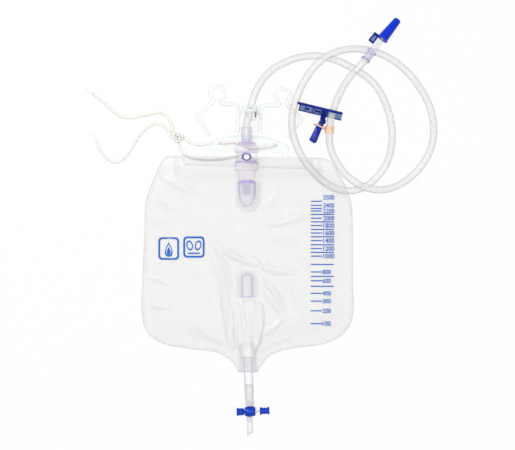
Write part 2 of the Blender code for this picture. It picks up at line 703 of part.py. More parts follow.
def make_hanger():
    frame = empty("hanger_frame", hanger_frame())
    crown = list(PLATE_CROWN) + [(-x, y) for x, y in reversed(PLATE_CROWN)]
    outer = [(-LEG_OUTER, BAR_HIGH), (-BAR_HALF_LENGTH, BAR_HIGH), (-BAR_HALF_LENGTH, BAR_LOW),
             (BAR_HALF_LENGTH, BAR_LOW), (BAR_HALF_LENGTH, BAR_HIGH), (LEG_OUTER, BAR_HIGH), *crown]
    slot = [(-SLOT_HALF_LENGTH, BAR_HIGH), (-SLOT_HALF_LENGTH, SLOT_HIGH),
            (SLOT_HALF_LENGTH, SLOT_HIGH), (SLOT_HALF_LENGTH, BAR_HIGH)]
    holes = [circle(side * STRING_HOLE_U, STRING_HOLE_V, STRING_HOLE_RADIUS, 12) for side in (-1, 1)]
    hanger = slab("hanger", [outer, slot, *holes], HANGER_Z, HANGER_TOP, MOULDED_WHITE, frame)
    rim = smooth_path([(*p, HANGER_TOP) for p in crown[:4]], 0.008)
    for side in (-1, 1):
        points = [(side * p.x, p.y - 0.0009, p.z - 0.0002) for p in rim]
        combine(hanger, baked(rod("plate_rim", points, PLATE_RIM, None, frame, 1)), "UNION")
    post_z = HANGER_Z + POST_THICKNESS
    post = [(-POST_HALF_WIDTH, POST_BASE_V), (POST_HALF_WIDTH, POST_BASE_V),
            (POST_HALF_WIDTH * 0.94, POST_TOP_V), (-POST_HALF_WIDTH * 0.94, POST_TOP_V)]
    combine(hanger, slab("post", [post], HANGER_Z + 0.0001, post_z, None, frame), "UNION")
    for side in (-1, 1):
        combine(hanger, make_hook(side, frame), "UNION")
        web = sorted((side * WEB_INNER_U, side * HOOK_LEG_U))
        combine(hanger, block("web", (web[0], WEB_LOW_V, HANGER_Z + 0.0005),
                              (web[1], WEB_HIGH_V, HANGER_Z + 0.0005 + WEB), None, frame), "UNION")
    hanger = baked(hanger)
    return add_tube_head(hanger, frame, post_z)


def make_hook(side, frame):
    """One spring hook: up from the plate, round its open loop, out to the kink and back to its tip."""
    z = HANGER_Z + PLATE / 2
    path = smooth_path([(side * x * MM, y * MM, z) for x, y in HOOK_ROUTE_MM], HOOK_STEP)
    return baked(rod("hook", path, HOOK_ROD / 2, None, frame, 1))


def add_tube_head(hanger, frame, post_z):
    """The clip head on the post: walls on both sides of the tube and a strap across it."""
    walls_top = HEAD_TUBE_Z + TUBE_DIAMETER / 2 - 0.0016
    strap_top = HEAD_TUBE_Z + TUBE_DIAMETER / 2 + GAP + HEAD_WALL_ABOVE_TUBE
    combine(hanger, block("head_walls", (-POST_HALF_WIDTH * 0.94, HEAD_LOW_V, post_z - 0.0004),
                          (POST_HALF_WIDTH * 0.94, POST_TOP_V - 0.0003, walls_top), None, frame), "UNION")
    combine(hanger, block("strap", (-POST_HALF_WIDTH * 0.78, STRAP_LOW_V, post_z),
                          (POST_HALF_WIDTH * 0.86, STRAP_HIGH_V, strap_top), None, frame), "UNION")
    path = tube_path()
    past_head = HANGER_PIVOT.y + POST_TOP_V + TUBE_WAY_PAST
    path = path[:next(i for i, p in enumerate(path) if p.y > past_head) + 1]
    way = baked(rod("tube_way", path, TUBE_DIAMETER / 2 + GAP, None))
    combine(hanger, way, "DIFFERENCE")
    combine(hanger, block("side_slot", (*SIDE_SLOT[:2], HANGER_Z - 0.001),
                          (*SIDE_SLOT[2:], strap_top + 0.001), None, frame), "DIFFERENCE")
    return baked(hanger)


# The inlet

def oval(obj, keep_round):
    """Flattens a turned piece, outside the radius that stays round, to the chamber's oval section."""
    for vertex in obj.data.vertices:
        radius = math.hypot(vertex.co.x, vertex.co.y)
        if radius > keep_round(vertex.co.z):
            vertex.co.y *= CHAMBER_BACK if vertex.co.y > 0 else CHAMBER_FRONT
    return obj


def make_inlet_cap():
    bore = TUBE_DIAMETER / 2 + GAP
    top, neck = SOCKET_TOP_Y - CAP_LOW_Y, SOCKET_LOW_Y - CAP_LOW_Y
    outer = bore + SOCKET_WALL
    step = top - SOCKET_DEPTH
    profile = ((outer, top), (outer, neck), (0.0085, neck - 0.0016), (0.0112, neck - 0.0044),
               (0.0127, neck - 0.0080), (CAP_RADIUS, 0), (CAP_RADIUS - CAP_WALL, 0),
               (0.0113, neck - 0.0086), (0.0098, neck - 0.0058), (0.0076, neck - 0.0031),
               (DRIP_NOZZLE_RADIUS, neck - 0.0022), (0.0027, 0.0030), (0.0016, 0.0030), (0.0017, step),
               (bore, step), (bore, top))
    cap = turned("inlet_cap", profile, (INLET_X, CAP_LOW_Y, INLET_Z), (0, 1, 0), CLEAR_VIOLET, 18)
    return oval(cap, lambda along: DRIP_NOZZLE_RADIUS + 0.0002 if along < neck - 0.001 else 1.0)


def make_chamber():
    low = CHAMBER_LOW_Y
    inner = BARREL_RADIUS - BARREL_WALL
    spigot_low = low - SPIGOT_LENGTH
    profile = ((0.0103, CHAMBER_TOP_Y), (BARREL_RADIUS - 0.0006, CAP_LOW_Y + 0.0010),
               (BARREL_RADIUS, CAP_LOW_Y - 0.0012),
               (BARREL_RADIUS, SKIRT_TOP_Y), (BARREL_RADIUS + 0.0012, SKIRT_TOP_Y - 0.0030),
               (CAP_RADIUS, SKIRT_LOW_Y), (CAP_RADIUS - 0.0009, SKIRT_LOW_Y - 0.0002),
               (0.0113, SKIRT_LOW_Y + 0.0024), (0.0111, low + 0.0024), (0.0094, low), (SPIGOT_RADIUS, low),
               (SPIGOT_RADIUS, spigot_low), (SPIGOT_RADIUS - BARREL_WALL, spigot_low),
               (SPIGOT_RADIUS - BARREL_WALL, low + 0.0012), (0.0090, low + 0.0014), (0.0099, low + 0.0036),
               (inner, SKIRT_LOW_Y + 0.006), (inner, CAP_LOW_Y - 0.001), (0.0093, CHAMBER_TOP_Y))
    profile = [(radius, along - low) for radius, along in profile]
    body = turned("drip_chamber", profile, (INLET_X, low, INLET_Z), (0, 1, 0), CLEAR_VIOLET, 18)
    oval(body, lambda along: SPIGOT_RADIUS + 0.0001)
    wall_top = INLET_Z + BARREL_RADIUS * CHAMBER_FRONT
    boss_top = wall_top + VENT_RISE - 0.0016
    root = 0.0022  # of the boss, inside the wall
    boss_radius, boss_height = VENT_RADIUS - GAP, boss_top - wall_top + root
    boss = turned("vent_boss", ((0, 0), (boss_radius, 0), (boss_radius, boss_height), (0, boss_height)),
                  (INLET_X, VENT_Y, wall_top - root), (0, 0, 1), None, 16)
    combine(body, boss, "UNION")
    bore = VENT_RADIUS - VENT_WALL
    hole = turned("vent_hole", ((0, 0), (bore, 0), (bore, 0.008), (0, 0.008)),
                  (INLET_X, VENT_Y, wall_top - 0.0032), (0, 0, 1), None, 16)
    combine(body, hole, "DIFFERENCE")
    body = baked(body)
    disc = bore - GAP
    turned("vent_filter", ((0, 0), (disc, 0), (disc, FILTER_THICKNESS), (0, FILTER_THICKNESS)),
           (INLET_X, VENT_Y, boss_top - FILTER_THICKNESS - 0.0004), (0, 0, 1), WHITE_FILTER, 16)
    ring = ((VENT_RADIUS, 0), (VENT_RADIUS, 0.0009), (VENT_RADIUS - 0.0004, 0.0012),
            (bore + 0.0002, 0.0012), (bore - 0.0002, 0.0009), (bore - 0.0002, 0))
    turned("vent_ring", ring, (INLET_X, VENT_Y, boss_top + GAP), (0, 0, 1), DARK_VIOLET, 16)
    return body


def hood(name, stations, base, material):
    """A closed half-round loft: each station is (x, y, half width, height) over the base."""
    body = bmesh.new()
    rings = []
    for x, y, half, height in stations:
        ring = [body.verts.new((x + half * math.cos(a), y, base + height * math.sin(a)))
                for a in (math.pi * i / 10 for i in range(11))]
        rings.append([body.verts.new((x + half, y, base - 0.0006)), *ring,
                      body.verts.new((x - half, y, base - 0.0006))])
    for first, second in zip(rings, rings[1:]):
        for i in range(len(first)):
            j = (i + 1) % len(first)
            body.faces.new((first[i], first[j], second[j], second[i]))
    body.faces.new(rings[0])
    body.faces.new(reversed(rings[-1]))
    bmesh.ops.recalc_face_normals(body, faces=body.faces)
    mesh = bpy.data.meshes.new(name)
    body.to_mesh(mesh)
    body.free()
    return place(bpy.data.objects.new(name, mesh), PARTS, material)


def u_plate(middle, half, low, high, steps=12):
    """A plate outline with a round lower end."""
    angles = [math.pi * i / steps for i in range(steps + 1)]
    arc = [(middle - half * math.cos(a), low + half - half * math.sin(a)) for a in angles]
    return [(middle + half, high), (middle - half, high), *arc]


def make_boot():
    """The boot: a scoop on a flange that is welded to the front film, with the flap inside."""
    base = SEAT_Z + GAP + FLANGE
    height = INLET_Z + 0.0067 - base
    length = BOOT_TOP_Y - BOOT_LOW_Y

    def stations(inset, first, last):
        made = []
        for i in range(9):
            share = first + (last - first) * math.sin(math.pi / 2 * i / 8)
            width = BOOT_HALF_WIDTH * math.sqrt(1 - share ** 3) * (1 - 0.05 * (1 - share) ** 2)
            rise = height * (1 - share ** 1.7) ** 0.9
            made.append((INLET_X + 0.0004, BOOT_TOP_Y - share * length,
                         max(width - inset, 0.0008), max(rise - inset, 0.0006)))
        return made

    flange = u_plate(BOOT_FLANGE_X, BOOT_FLANGE_HALF_WIDTH, BOOT_FLANGE_LOW_Y, BOOT_TOP_Y)
    boot = slab("inlet_boot", [flange], SEAT_Z + GAP, base, CLEAR_VIOLET)
    combine(boot, hood("boot_scoop", stations(0, 0.0, 0.985), base, None), "UNION")
    inner = hood("boot_inside", stations(BOOT_WALL, BOOT_WALL / length, 0.93), base, None)
    for vertex in inner.data.vertices:
        if vertex.co.z < base:
            vertex.co.z = SEAT_Z - 0.001
    combine(boot, inner, "DIFFERENCE")
    spigot = SPIGOT_RADIUS + GAP
    hole = turned("spigot_hole", ((0, 0), (spigot, 0), (spigot, 0.006), (0, 0.006)),
                  (INLET_X, BOOT_TOP_Y - 0.004, INLET_Z), (0, 1, 0), None, 16)
    combine(boot, hole, "DIFFERENCE")
    baked(boot)
    hinge_y = CHAMBER_LOW_Y - SPIGOT_LENGTH - GAP
    outline = u_plate(0, FLAP_HALF_WIDTH, -FLAP_LENGTH, 0, 8)
    flap = slab("non_return_flap", [outline], -FLAP_THICKNESS / 2, FLAP_THICKNESS / 2, SOFT_VIOLET)
    flap.matrix_local = (Matrix.Translation((INLET_X, hinge_y, INLET_Z - 0.0010))
                         @ Matrix.Rotation(FLAP_DROOP, 4, "X"))


def make_pocket():
    """The spout pocket: a half-round dock, domed at the top and flared at its open mouth."""
    base = SEAT_Z + GAP + FLANGE

    def stations(inset, out):
        made = []
        for share in (0.02, 0.12, 0.3, 0.6, 1.0):
            round_off = math.sqrt(1 - (1 - share) ** 2)
            made.append((POCKET_X, POCKET_TOP_Y - share * POCKET_HALF_WIDTH - inset,
                         POCKET_HALF_WIDTH * round_off - inset * round_off,
                         POCKET_HEIGHT * round_off - inset * round_off))
        made.append((POCKET_X, POCKET_MOUTH_Y + POCKET_FLARE_LENGTH, POCKET_HALF_WIDTH - inset,
                     POCKET_HEIGHT - inset))
        made.append((POCKET_X, POCKET_MOUTH_Y - out, POCKET_HALF_WIDTH + POCKET_FLARE - inset,
                     POCKET_HEIGHT + POCKET_FLARE - inset))
        return made

    top = POCKET_TOP_Y + POCKET_FLANGE_MARGIN
    outline = u_plate(POCKET_X, POCKET_FLANGE_HALF_WIDTH, -top, -POCKET_MOUTH_Y)
    outline = [(x, -y) for x, y in outline]
    pocket = slab("spout_pocket", [outline], SEAT_Z + GAP, base, CLEAR_VIOLET)
    combine(pocket, hood("pocket_dome", stations(0, 0), base, None), "UNION")
    inner = hood("pocket_inside", stations(POCKET_WALL, 0.002), base, None)
    for vertex in inner.data.vertices:
        vertex.co.z = max(vertex.co.z, base)
    combine(pocket, inner, "DIFFERENCE")
    return baked(pocket)


# The outlet

def make_outlet():
    axis = empty("outlet_axis", Matrix.Translation((OUTLET_X, OUTLET_Y, OUTLET_Z))
                 @ Matrix.Rotation(OUTLET_LEAN, 4, "Z"))
    down = (0, -1, 0)
    neck = ((NECK_RADIUS, 0), (NECK_RADIUS, NECK_LENGTH), (NECK_BORE, NECK_LENGTH), (NECK_BORE, 0))
    turned("outlet_neck", neck, (0, 0, 0), down, CLEAR_VIOLET, 16, axis)
    start = NECK_LENGTH + GAP
    spigot = NECK_BORE - GAP
    sleeve = ((spigot, NECK_LENGTH - SLEEVE_SPIGOT), (spigot, start), (NECK_RADIUS, start),
              (NECK_RADIUS - 0.0001, start + 0.006), (SLEEVE_END_RADIUS, SLEEVE_END),
              (SLEEVE_BORE, SLEEVE_END), (SLEEVE_BORE, start + 0.007), (spigot - SPIGOT_WALL, start),
              (spigot - SPIGOT_WALL, NECK_LENGTH - SLEEVE_SPIGOT))
    turned("outlet_sleeve", sleeve, (0, 0, 0), down, CLEAR_SLEEVE, 16, axis)
    make_valve(axis)
    start = VALVE_AT + VALVE_RADIUS + GAP
    spout = ((SPOUT_RADIUS, start), (SPOUT_RADIUS, start + SPOUT_LENGTH),
             (SPOUT_BORE, start + SPOUT_LENGTH), (SPOUT_BORE, start))
    obj = turned("outlet_spout", spout, (VALVE_WAY_X, 0, 0), down, CLEAR_SLEEVE, 16, axis)
    end = -(start + SPOUT_LENGTH)
    wedge = block("spout_slant", (-0.02, -0.01, -0.02), (0.02, 0, 0.02), None, axis)
    wedge.location = (VALVE_WAY_X, end + SPOUT_SLANT / 2, 0)
    wedge.rotation_euler.z = math.atan2(SPOUT_SLANT, 2 * SPOUT_RADIUS)
    combine(obj, wedge, "DIFFERENCE")


def make_valve(axis):
    """The push-pull cross valve: a barrel across the outlet, its two seals and the sliding plunger."""
    valve = empty("valve_axis", Matrix.Translation((0, -VALVE_AT, 0)), axis)
    across = (1, 0, 0)
    half = VALVE_HALF_LENGTH
    end, full = half - VALVE_COLLAR, half - VALVE_COLLAR - 0.0018
    barrel = ((0, -half), (VALVE_END_RADIUS, -half), (VALVE_END_RADIUS, -end), (VALVE_RADIUS, -full),
              (VALVE_RADIUS, full), (VALVE_END_RADIUS, end), (VALVE_END_RADIUS, half), (0, half))
    body = turned("valve_body", barrel, (0, 0, 0), across, BLUE, 16, valve)
    reach = VALVE_RADIUS + VALVE_SPIGOT_LENGTH
    upper = ((0, 0), (VALVE_SPIGOT_RADIUS, 0), (VALVE_SPIGOT_RADIUS, reach), (0, reach))
    combine(body, turned("upper_spigot", upper, (0, 0, 0), (0, 1, 0), None, 12, valve), "UNION")
    lower_radius = SPOUT_BORE - GAP
    lower = ((0, 0), (lower_radius, 0), (lower_radius, reach), (0, reach))
    combine(body, turned("lower_spigot", lower, (VALVE_WAY_X, 0, 0), (0, -1, 0), None, 12, valve), "UNION")
    groove = SHAFT_RADIUS + 2 * (SEAL_RADIUS + SEAL_CLEARANCE)
    reach = SEAL_RADIUS + SEAL_CLEARANCE
    bore = [(0, -half - 0.002), (VALVE_BORE, -half - 0.002)]
    for _, at in SEAL_PLACES:
        bore += [(VALVE_BORE, at - reach), (groove, at - reach)]
        bore += [(groove, at + reach), (VALVE_BORE, at + reach)]
    bore += [(VALVE_BORE, half + 0.002), (0, half + 0.002)]
    combine(body, turned("cross_bore", bore, (0, 0, 0), across, None, 16, valve), "DIFFERENCE")
    way = ((0, 0), (VALVE_WAY, 0), (VALVE_WAY, 0.016), (0, 0.016))
    combine(body, turned("upper_way", way, (0, 0, 0), (0, 1, 0), None, 10, valve), "DIFFERENCE")
    combine(body, turned("lower_way", way, (VALVE_WAY_X, 0, 0), (0, -1, 0), None, 10, valve), "DIFFERENCE")
    baked(body)
    make_plunger(valve, across, half)


def make_plunger(valve, across, half):
    """The plunger, pushed right to close the way: a shaft with a cross hole, between two knobs."""
    knob_at = half + GAP + VALVE_TRAVEL
    left = -half - KNOB_BORE_DEPTH
    right = knob_at + KNOB_BORE_DEPTH - GAP
    land_end = SEAL_PLACES[1][1] + SEAL_RADIUS + VALVE_TRAVEL + 0.0002
    profile = ((0, left), (STEM_RADIUS, left), (STEM_RADIUS, -half + 0.0004), (SHAFT_RADIUS, -half + 0.0008),
               (SHAFT_RADIUS, land_end), (STEM_RADIUS, land_end + 0.0004), (STEM_RADIUS, right), (0, right))
    shaft = turned("valve_plunger", profile, (0, 0, 0), across, WHITE, 12, valve)
    hole = ((0, -0.004), (SHAFT_HOLE, -0.004), (SHAFT_HOLE, 0.004), (0, 0.004))
    hole_at = (VALVE_WAY_X + VALVE_TRAVEL, 0, 0)
    combine(shaft, turned("shaft_hole", hole, hole_at, (0, 1, 0), None, 10, valve), "DIFFERENCE")
    baked(shaft)
    middle = SHAFT_RADIUS + SEAL_CLEARANCE + SEAL_RADIUS
    for name, at in SEAL_PLACES:
        ring = [(middle + SEAL_RADIUS * math.cos(a), at + SEAL_RADIUS * math.sin(a))
                for a in (2 * math.pi * i / 6 for i in range(6))]
        turned(name, ring, (0, 0, 0), across, BLACK_RUBBER, 12, valve)
    bore = STEM_RADIUS + GAP
    face, end = half + GAP, half + GAP + KNOB_LENGTH
    knob = ((bore, face), (KNOB_RADIUS - 0.0006, face), (KNOB_RADIUS - 0.0004, face + 0.0018),
            (KNOB_RADIUS, face + 0.0026), (KNOB_RADIUS, end - 0.0020), (KNOB_FLANGE, end - 0.0014),
            (KNOB_FLANGE, end), (0, end), (0, face + KNOB_BORE_DEPTH), (bore, face + KNOB_BORE_DEPTH))
    turned("plunger_knob_left", knob, (0, 0, 0), (-1, 0, 0), BLUE, 12, valve)
    end = knob_at + RIGHT_KNOB_LENGTH
    knob = ((bore, knob_at), (RIGHT_KNOB_FLANGE, knob_at), (RIGHT_KNOB_FLANGE, knob_at + 0.0014),
            (RIGHT_KNOB_RADIUS, knob_at + 0.0026), (RIGHT_KNOB_RADIUS, end - 0.0022),
            (RIGHT_KNOB_FLANGE, end - 0.0014), (RIGHT_KNOB_FLANGE, end), (0, end),
            (0, knob_at + KNOB_BORE_DEPTH), (bore, knob_at + KNOB_BORE_DEPTH))
    turned("plunger_knob_right", knob, (0, 0, 0), across, BLUE, 12, valve)


# The inlet tube, its connector and the cap

def connector_axis():
    """Unit vector along the connector, towards the cap."""
    flat = math.cos(CONNECTOR_DIP)
    across, up = math.cos(CONNECTOR_HEADING), math.sin(CONNECTOR_HEADING)
    return Vector((flat * across, flat * up, -math.sin(CONNECTOR_DIP)))


def tube_path():
    """The tube's middle line, ending inside the connector's sleeve."""
    route = [Vector(p) * MM for p in TUBE_ROUTE_MM]
    axis = connector_axis()
    for along in (-0.004, 0.001, 0.005, CONNECTOR_SOCKET - GAP):
        route.append(CONNECTOR_START + axis * along)
    fine = smooth_path(route, 0.0025)
    ends = 0.020
    whole = sum((b - a).length for a, b in zip(fine, fine[1:]))
    keep, since, done = [fine[0]], 0.0, 0.0
    for a, b in zip(fine, fine[1:]):
        since += (b - a).length
        done += (b - a).length
        step = TUBE_STEP if ends < done < whole - ends else 0.0045
        if since >= step * 0.98:
            keep.append(b)
            since = 0.0
    if since > 0.001:
        keep.append(fine[-1])
    return keep


def make_tube():
    rod("drain_tube", tube_path(), TUBE_DIAMETER / 2, TUBE_CLEAR)


def make_connector():
    axis = connector_axis()
    bore = TUBE_DIAMETER / 2 + GAP
    width = CONNECTOR_FLANGE_WIDTH
    end = CONNECTOR_SLEEVE
    profile = ((bore, 0), (CONNECTOR_FLANGE, 0), (CONNECTOR_FLANGE, width),
               (CONNECTOR_SLEEVE_RADIUS, width), (CONNECTOR_SLEEVE_RADIUS, end - width),
               (CONNECTOR_FLANGE, end - width), (CONNECTOR_FLANGE, end), (NOZZLE_ROOT, end),
               (NOZZLE_TIP + 0.0008, CAP_START), (NOZZLE_TIP, NOZZLE_END), (NOZZLE_BORE, NOZZLE_END),
               (NOZZLE_BORE + 0.0004, CONNECTOR_SOCKET), (bore, CONNECTOR_SOCKET))
    turned("tube_connector", profile, CONNECTOR_START, axis, CLEAR_VIOLET, 16)
    start, end = CAP_START, CAP_START + CAP_LENGTH
    profile = ((CAP_BORE_ROOT, start), (CAP_FLANGE_RADIUS, start),
               (CAP_FLANGE_RADIUS, start + CAP_FLANGE_WIDTH), (CAP_ROOT_RADIUS, start + CAP_FLANGE_WIDTH + 0.0006), (CAP_TIP_RADIUS, end - 0.0012),
               (CAP_TIP_RADIUS - 0.0008, end), (0, end), (0, end - 0.0080), (CAP_BORE_TIP, end - 0.0082))
    cap = turned("connector_cap", profile, CONNECTOR_START, axis, BLUE, 16)
    frame = empty("cap_lug_axis", Matrix.Translation(CONNECTOR_START)
                  @ Matrix.Rotation(CONNECTOR_HEADING, 4, "Z") @ Matrix.Rotation(CONNECTOR_DIP, 4, "Y"))
    low, high = start - CAP_LUG_LENGTH, start + CAP_FLANGE_WIDTH * 0.8
    inner = CAP_BORE_ROOT + 0.0002
    wall = CAP_LUG_WALL
    outer = inner + CAP_LUG_WIDTH
    ring = [(low, inner), (high, inner), (high, outer), (low + 0.001, outer), (low, outer - 0.001)]
    hole = [(low + wall, inner + wall), (high - 2 * wall, inner + wall),
            (high - 2 * wall, outer - wall), (low + wall, outer - wall)]
    lug = slab("cap_lug", [ring, hole], -CAP_LUG_THICKNESS / 2, CAP_LUG_THICKNESS / 2, None, frame)
    combine(cap, lug, "UNION")
    baked(cap)


# The sheet clip and the rubber band

def clip_frame():
    """The clip's own frame: along its jaws, from its handles towards its jaws, and up."""
    return (Matrix.Translation(CLIP_ORIGIN + Vector((0, 0, CLIP_LIFT))) @ Matrix.Rotation(CLIP_TURN, 4, "Z")
            @ Matrix.Rotation(CLIP_ROLL, 4, "Y"))


def handle_outline(width, length, start, aside):
    """A blunt handle running down from the pin, from start to length, skewed and leaning aside."""
    half = width / 2
    corner = min(HANDLE_CORNER, half)
    points = [(-half * 0.8, -start), (half * 0.8, -start), (half, -start - 0.0030)]
    for side, first in ((1, 0), (-1, 90)):
        for i in range(4):
            a = math.radians(-first - 30 * i)
            points.append((side * (half - corner) + corner * math.cos(a),
                           -length + corner + corner * math.sin(a)))
    points.append((-half, -start - 0.0030))
    turn = Matrix.Rotation(HANDLE_SKEW, 2)
    middle = Vector((CLIP_NECK_U + HANDLE_SHIFT, CLIP_PIN_V))
    lean = aside / length
    return [tuple(turn @ Vector((u - v * lean, v)) + middle) for u, v in points]


def make_clip():
    frame = empty("clip_frame", clip_frame())
    half = CLIP_NECK_WIDTH / 2
    left, right = CLIP_NECK_U - half, CLIP_NECK_U + half
    back = block("sheet_clip_back", (-JAW_HALF_LENGTH + 0.0016, -JAW_PLATE_WIDTH, 0),
                 (JAW_HALF_LENGTH, 0, JAW_PLATE), DARK_BLUE, frame)
    neck = [(left, -JAW_PLATE_WIDTH + 0.001), (left, CLIP_PIN_V - 0.002), (right, CLIP_PIN_V - 0.002),
            (right, -JAW_PLATE_WIDTH + 0.001)]
    combine(back, slab("back_neck", [neck], 0.0001, HANDLE_THICKNESS, None, frame), "UNION")
    outline = handle_outline(HANDLE_WIDTH, HANDLE_LENGTH, -0.001, HANDLE_APART)
    combine(back, slab("back_handle", [outline], 0.0002, HANDLE_THICKNESS + 0.0001, None, frame), "UNION")
    for low, high in ((left, left + CLIP_EAR), (right - CLIP_EAR, right)):
        ear = block("ear", (low, CLIP_PIN_V - 0.0022, 0.001),
                    (high, CLIP_PIN_V + 0.0022, CLIP_PIN_W + CLIP_PIN_RADIUS + 0.0012), None, frame)
        combine(back, ear, "UNION")
    rib_top = JAW_PLATE + JAW_RIB
    for v in (-JAW_PLATE_WIDTH + 0.0002, -JAW_RIB - 0.0002):
        rib = block("jaw_rib", (-JAW_HALF_LENGTH + 0.0020, v, JAW_PLATE - 0.0003),
                    (CLIP_NECK_U + 0.002, v + JAW_RIB, rib_top), None, frame)
        combine(back, rib, "UNION")
    for u in JAW_RIB_PLACES:
        rib = block("cross_rib", (u, -JAW_PLATE_WIDTH + 0.0005, JAW_PLATE - 0.0004),
                    (u + JAW_RIB, -0.0005, rib_top - 0.0001), None, frame)
        combine(back, rib, "UNION")
    hole = CLIP_PIN_RADIUS + GAP
    way = ((0, -0.002), (hole, -0.002), (hole, CLIP_NECK_WIDTH + 0.002), (0, CLIP_NECK_WIDTH + 0.002))
    pin_at, across = (left, CLIP_PIN_V, CLIP_PIN_W), (1, 0, 0)
    combine(back, turned("pin_way", way, pin_at, across, None, 10, frame), "DIFFERENCE")
    baked(back)
    pin = ((0, 0), (CLIP_PIN_RADIUS, 0), (CLIP_PIN_RADIUS, CLIP_NECK_WIDTH), (0, CLIP_NECK_WIDTH))
    turned("sheet_clip_pin", pin, pin_at, across, STEEL, 10, frame)
    make_front_lever(frame, left + CLIP_EAR + GAP, right - CLIP_EAR - GAP, way)
    make_clip_spring(frame)


def make_front_lever(frame, low_u, high_u, way):
    """The lever on top: the lip along its jaw, the neck down to the pin and the handle."""
    lip_low = JAW_PLATE + JAW_MOUTH
    front = block("sheet_clip_front", (-JAW_HALF_LENGTH + JAW_LIP_SHIFT, -JAW_LIP_WIDTH, lip_low),
                  (JAW_HALF_LENGTH + JAW_LIP_SHIFT, 0, lip_low + JAW_LIP_HEIGHT), DARK_BLUE, frame)
    barrel = ((0, 0), (CLIP_BARREL_RADIUS, 0), (CLIP_BARREL_RADIUS, high_u - low_u), (0, high_u - low_u))
    barrel_at, across = (low_u, CLIP_PIN_V, CLIP_PIN_W), (1, 0, 0)
    combine(front, turned("lever_barrel", barrel, barrel_at, across, None, 12, frame), "UNION")
    top = lip_low + JAW_LIP_HEIGHT * 0.8
    body = bmesh.new()
    section = ((-JAW_LIP_WIDTH + 0.0006, lip_low + 0.0002), (-JAW_LIP_WIDTH + 0.0006, top),
               (-JAW_LIP_WIDTH - 0.0020, top),
               (CLIP_PIN_V + 0.0005, CLIP_PIN_W + CLIP_BARREL_RADIUS - 0.0002),
               (CLIP_PIN_V + 0.0010, CLIP_PIN_W - 0.0010))
    bottom = [body.verts.new((low_u, v, w)) for v, w in section]
    face = body.faces.new(bottom)
    grown = bmesh.ops.extrude_face_region(body, geom=[face])
    moved = [v for v in grown["geom"] if isinstance(v, bmesh.types.BMVert)]
    bmesh.ops.translate(body, verts=moved, vec=(high_u - low_u, 0, 0))
    bmesh.ops.recalc_face_normals(body, faces=body.faces)
    mesh = bpy.data.meshes.new("lever_neck")
    body.to_mesh(mesh)
    body.free()
    combine(front, place(bpy.data.objects.new("lever_neck", mesh), PARTS, None, frame), "UNION")
    root = [(low_u, CLIP_PIN_V - 0.0060), (high_u, CLIP_PIN_V - 0.0060), (high_u, CLIP_PIN_V + 0.0010),
            (low_u, CLIP_PIN_V + 0.0010)]
    handle = slab("front_handle", [root], -HANDLE_THICKNESS / 2, HANDLE_THICKNESS / 2, None, frame)
    outline = handle_outline(HANDLE_WIDTH, HANDLE_LENGTH + 0.0004, HANDLE_START, -HANDLE_APART)
    grip_top = HANDLE_THICKNESS / 2 + 0.0002
    grip = slab("front_grip", [outline], -HANDLE_THICKNESS / 2 - 0.0001, grip_top, None, frame)
    inner = handle_outline(HANDLE_WIDTH - 2 * HANDLE_RIM, HANDLE_LENGTH + 0.0004 - HANDLE_RIM,
                           HANDLE_START + 0.0052, -HANDLE_APART)
    dish = slab("thumb_rest", [inner], grip_top - HANDLE_DISH, grip_top + 0.001, None, frame)
    for piece in (handle, grip, dish):
        piece.location.z += CLIP_PIN_W + HANDLE_RAISE
    combine(front, handle, "UNION")
    combine(front, grip, "UNION")
    combine(front, dish, "DIFFERENCE")
    way_at = (low_u - 0.001, CLIP_PIN_V, CLIP_PIN_W)
    combine(front, turned("lever_pin_way", way, way_at, across, None, 10, frame), "DIFFERENCE")
    baked(front)


def make_clip_spring(frame):
    """The leaf spring between the handles: a bent strip whose upper leg is pressed as the clip opens."""
    low = HANDLE_THICKNESS + 0.0001 + GAP
    start = CLIP_PIN_V - CLIP_BARREL_RADIUS - 2 * GAP
    turn = Matrix.Rotation(HANDLE_SKEW, 4, "Z")
    section = ((start, low), (start - SPRING_LENGTH, low), (start - SPRING_LENGTH, low + SPRING_LEAF),
               (start - 2 * SPRING_LEAF, low + SPRING_LEAF), (start - SPRING_LENGTH, low + SPRING_RISE),
               (start - SPRING_LENGTH, low + SPRING_RISE + SPRING_LEAF), (start, low + 2.4 * SPRING_LEAF))
    leaf = slab("sheet_clip_spring", [section], -SPRING_WIDTH / 2, SPRING_WIDTH / 2, STEEL, frame)
    pivot = Matrix.Translation((CLIP_NECK_U + HANDLE_SHIFT, CLIP_PIN_V, 0))
    middle = Matrix.Translation((CLIP_NECK_U + HANDLE_SHIFT, 0, 0))
    stand = Matrix(((0, 0, 1, 0), (1, 0, 0, 0), (0, 1, 0, 0), (0, 0, 0, 1)))
    leaf.matrix_local = pivot @ turn @ pivot.inverted() @ middle @ stand


